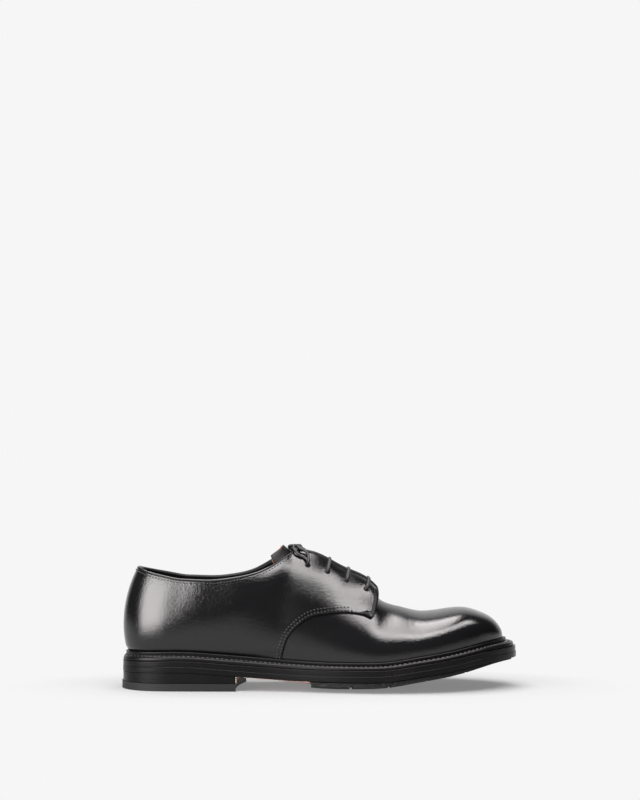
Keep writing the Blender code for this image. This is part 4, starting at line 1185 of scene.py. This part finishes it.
# Welt and rib: the section swept once round the shoe, with a row of stitches on the flat
def makeWelt():
    shares = alongSide(welt["shares"])
    ring, lines = [], []
    for side, at in ((outer, shares), (inner, shares[-2:0:-1])):
        edge = setback(side, setbackWelt)
        flare = np.interp(edgeLine(side, 0)[2], ribTable[:, 0], ribTable[:, 4])
        lean = ribHeight * np.tan(np.radians(flare)) + ribClearance
        section = []
        for inset, drop in weltSection(edge, edge + shelf(side), lean, footInset(side)):
            flat = edgePoint(side, at, inset)[0]
            section.append(np.column_stack([flat, layerZ(flat[:, 0], flat[:, 1], drop)]))
        ring.append(np.stack(section, axis=1))
        flat = edgePoint(side, at, edge + edgeRound + welt["place"] * (shelf(side) - edgeRound))[0]
        lines.append(np.column_stack([flat, layerZ(flat[:, 0], flat[:, 1], 0)]))
    ring = np.concatenate([*ring, ring[0][:1]])
    quads = gridQuads(len(ring), ring.shape[1], ring=True)
    addPiece("storm_welt", ring, quads[:, ::-1], weltFinish, "edge_leather", ("welt",))
    line = evenly(np.concatenate([*lines, lines[0][:1]]), welt["points"])
    sizes = (welt[key] for key in ("pitch", "share", "thick", "lift", "slant"))
    addPiece("welt_stitches", *stitchGrid(line, np.tile([0, 0, 1.0], (len(line), 1)), *sizes),
             weltThread, "edge_leather")


makeWelt()

# Layers of the bottom. round: depth of the corners; in: how far the walls' ends lie in
layer = {"shares": (44, 150, 40), "round": 0.00015, "in": 0.0005, "across": 13}


# A full-length layer: ring of its top, walls and underside, swept from toe to heel. At both ends
# the faces meet in one point a level
def makeLayer(name, inset, drop, thick, node):
    shares = np.concatenate([[0, 0.002, 0.005], alongSide(layer["shares"], 0.01), [0.995, 0.998, 1.0]])
    walls = ((0.0001, 0.00002), (0.0, layer["round"]), (-0.00005, 0.5 * thick),
             (0.0, thick - layer["round"]), (0.0001, thick - 0.00002))
    insets = {side: setback(side, inset) for side in (outer, inner)}
    near, far = (edgePoint(side, shares, insets[side] + layer["in"])[0][:, None]
                 for side in (outer, inner))
    weight = ((np.linspace(-1, 1, layer["across"]) + 1) / 2)[:, None]
    flat = near * (1 - weight) + far * weight
    top, under = (np.concatenate([flat, layerZ(flat[..., 0], flat[..., 1], down)[..., None]], axis=2)
                  for down in (drop, drop + thick))
    edges = {}
    for side in (outer, inner):
        spots = [edgePoint(side, shares, insets[side] + more)[0] for more, _ in walls]
        edges[side] = np.stack([np.column_stack([spot, layerZ(spot[:, 0], spot[:, 1], drop + down)])
                                for spot, (_, down) in zip(spots, walls)], axis=1)
    for end in (0, -1):
        top[end], under[end] = top[end].mean(axis=0), under[end].mean(axis=0)
        edges[outer][end] = edges[inner][end] = (edges[outer][end] + edges[inner][end]) / 2
    ring = np.concatenate([top, edges[inner], under[:, ::-1], edges[outer][:, ::-1]], axis=1)
    quads = gridQuads(len(ring), ring.shape[1], ring=True)
    piece = addPiece(name, ring, quads, edgeFinish, "edge_leather", (node,))
    piece.data.set_sharp_from_angle(angle=math.radians(25))


soleDrop = weltThick + midsoleThick + outsoleThick + 2 * fitGap
makeLayer("midsole_edge", setbackMidsole * 0.5, weltThick + fitGap * 0.5, midsoleThick + fitGap,
          "midsole")
makeLayer("outsole_edge", 0.0, soleDrop - outsoleThick - fitGap * 0.5, outsoleThick + fitGap * 0.5,
          "outsole")

# Heel. breast: its place along the sole; hollow and skew of the breast; waistEnd: bare waist's end
heel = {"breast": 0.300, "hollow": 0.0030, "skew": 0.0044, "waistEnd": 0.476, "waistIn": 0.0012,
        "thin": 0.0003}


# Outline of a heel layer between its sides, x = back + (breast - back) s + bow(a) s^3, from the
# breast to the back
def heelSections(inset):
    line = {side: edgeLine(side, inset)[0][::-1] for side in (outer, inner)}
    steps = np.concatenate([np.linspace(0, 0.25, 40) * np.linspace(0.2, 1, 40),
                            np.linspace(0.25, 1, 50)[1:]])
    across = np.linspace(-1, 1, 25)
    back = min(points[:, 0].min() for points in line.values())
    weight = (across + 1) / 2
    bow = heel["skew"] * (weight - 0.5) - heel["hollow"] * (1 - across ** 2)
    grid = (back + (placeAlong(heel["breast"]) - back) * steps)[:, None] + bow * (steps ** 3)[:, None]
    near, far = (np.interp(grid, line[side][:, 0], line[side][:, 1]) for side in (outer, inner))
    return np.stack([grid, near * (1 - weight) + far * weight], axis=2)[::-1]


# Adds heights to flat points as their Z
def raised(flat, high):
    return np.concatenate([flat, high[..., None]], axis=2)


def makeHeelLayer(name, flat, high, depth, finish, slot, node):
    grid = raised(flat, high)
    up = np.tile([0, 0, 1.0], (high.size, 1))
    points, faces = thicken(grid, gridQuads(*high.shape), 0, depth.ravel(), up)
    piece = addPiece(name, points, faces, finish, slot, (node,))
    piece.data.set_sharp_from_angle(angle=math.radians(40))


def makeHeel():
    flat = heelSections(setbackStack)
    high = layerZ(flat[..., 0], flat[..., 1], soleDrop + fitGap)
    makeHeelLayer("heel_block", flat, high, high - liftThick - fitGap, edgeFinish, "edge_leather",
                  "heel_stack")
    flat = heelSections(-liftFlare)
    high = np.full(flat.shape[:2], liftThick)
    makeHeelLayer("heel_top_piece", flat, high, high, liftFinish, "rubber", "heel_lift")


# Unstained leather: a thin plate on the breast and another under the waist
def makeBareLeather():
    line = heelSections(setbackStack)[0]
    x = line[:, 0] + 0.0002
    top = layerZ(x, line[:, 1], soleDrop) - 0.0002
    z = liftThick + 0.0004 + (top - liftThick - 0.0006) * np.linspace(0, 1, 8)[:, None]
    grid = np.stack(np.broadcast_arrays(x, line[:, 1], z), axis=2)
    forward = np.tile([1.0, 0, 0], (z.size, 1))
    addPiece("heel_breast", *thicken(grid, gridQuads(*z.shape)[:, ::-1], 0.0002, heel["thin"], forward),
             bareFinish, "lining_leather")
    x = np.linspace(line[:, 0].max() + heel["waistIn"], placeAlong(heel["waistEnd"]), 40)
    weight = np.linspace(0, 1, 21)
    near, far = (edgeAt(side, x, heel["waistIn"])[:, None] for side in (outer, inner))
    y = near * (1 - weight) + far * weight
    flat = np.stack(np.broadcast_arrays(x[:, None], y), axis=2)
    grid = raised(flat, layerZ(flat[..., 0], y, soleDrop + 0.0001))
    up = np.tile([0, 0, 1.0], (y.size, 1))
    addPiece("waist_sole", *thicken(grid, gridQuads(*y.shape)[:, ::-1], 0, heel["thin"], up),
             bareFinish, "lining_leather")


makeHeel()
makeBareLeather()
print("sole and heel made")

# CAD nodes that stay: their slots' procedural finishes
for node, finish in (("tread", treadFinish), ("insole", liningFinish)):
    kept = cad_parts[node]
    kept.data.materials.clear()
    kept.data.materials.append(finish)

# Floor and studio: broad panel overhead, tall one at the heel's side, low narrow one by the toe,
# white behind. Panels: place, aim, size, power
studio = {"floor": (0.2210, 0.2270, 0.2278), "white": 0.9216, "warm": (1.0, 0.965, 0.962),
          "near": (0.14, 0.26, 0.24), "front": (-0.60, -0.44), "behind": 1.05, "low": 0.06, "dim": 0.02,
          "panels": (("overhead", (-0.13, -0.25, 1.10), (-0.13, -0.249, 0), (0.82, 1.70), 49.0),
                     ("side_panel", (-1.04, -0.94, 0.50), (-0.12, -0.025, 0.30), (1.10, 0.98), 44.0),
                     ("facing_panel", (0.292, -0.199, 0.49), (0.092, -0.054, 0.0), (0.46, 0.17), 2.9))}


# Pale floor: lit and shadowed round the shoe, passing into an even glow farther out
def makeFloor():
    mesh = bpy.data.meshes.new("floor")
    mesh.from_pydata([(-6, -3, 0), (6, -3, 0), (6, 9, 0), (-6, 9, 0)], [], [(0, 1, 2, 3)])
    finish, shader = newShader("pale_floor")
    start, end, least = studio["near"]
    away = shader.math("SQRT", shader.x * shader.x + shader.y * shader.y * 4.0)
    far = away.steps(start, end) * (1 - least) + least
    tint = shader.mix(shader.noise(8.0, 2.0, 0.5), colour(*studio["floor"]),
                      colour(*(1.01 * part for part in studio["floor"])))
    finishShader(shader, tint, 0.9, plain={"Specular IOR Level": 0.0})
    white = shader.y.steps(*studio["front"])
    seen = shader.node("ShaderNodeLightPath", out="Is Camera Ray")
    white = white + seen - white * seen
    tone = shader.mix(white, colour(0.05, 0.05, 0.05), colour(*[studio["white"]] * 3))
    glow = shader.node("ShaderNodeEmission", None, {"Color": tone, "Strength": 1.0})
    both = shader.node("ShaderNodeMixShader", None, {0: far, 2: glow})
    nodes = finish.node_tree
    nodes.links.new(shader.surface.outputs[0], both.socket.node.inputs[1])
    nodes.links.new(both.socket, nodes.nodes["Material Output"].inputs[0])
    mesh.materials.append(finish)
    floor = bpy.data.objects.new("floor", mesh)
    bpy.context.scene.collection.objects.link(floor)


def addPanel(name, place, aim, size, power):
    light = bpy.data.lights.new(name, "AREA")
    light.shape = "RECTANGLE"
    light.size, light.size_y = size
    light.energy = power
    light.color = studio["warm"]
    panel = bpy.data.objects.new(name, light)
    bpy.context.scene.collection.objects.link(panel)
    panel.location = place
    away = np.array(place, float) - np.array(aim, float)
    panel.rotation_euler = (math.atan2(math.hypot(away[0], away[1]), away[2]), 0,
                            math.atan2(away[0], -away[1]))
    panel.visible_camera = False


# White to the camera; to the leather, white behind the shoe and dim elsewhere
def makeWorld():
    world = bpy.data.worlds.new("studio")
    bpy.context.scene.world = world
    world.use_nodes = True
    air = Shader(world.node_tree)
    toward = air.node("ShaderNodeTexCoord", out="Generated")
    ways = air.node("ShaderNodeSeparateXYZ", None, {0: toward}).socket.node.outputs
    wayY, wayZ = Flow(air, ways[1]), Flow(air, ways[2])
    behind = wayY.steps(0.45, 0.80) * (1.0 - wayZ.steps(0.70, 0.84)) * studio["behind"]
    front = (0.0 - wayY).steps(0.70, 0.98) * studio["low"]
    seen = air.node("ShaderNodeLightPath", out="Is Camera Ray")
    strength = seen * studio["white"] + (1.0 - seen) * (behind + front + studio["dim"])
    backdrop = world.node_tree.nodes["Background"]
    backdrop.inputs["Color"].default_value = colour(1, 1, 1)
    world.node_tree.links.new(strength.socket, backdrop.inputs["Strength"])


makeFloor()
for panel in studio["panels"]:
    addPanel(*panel)
makeWorld()
bpy.context.scene.view_settings.view_transform = "Standard"
print("studio made")
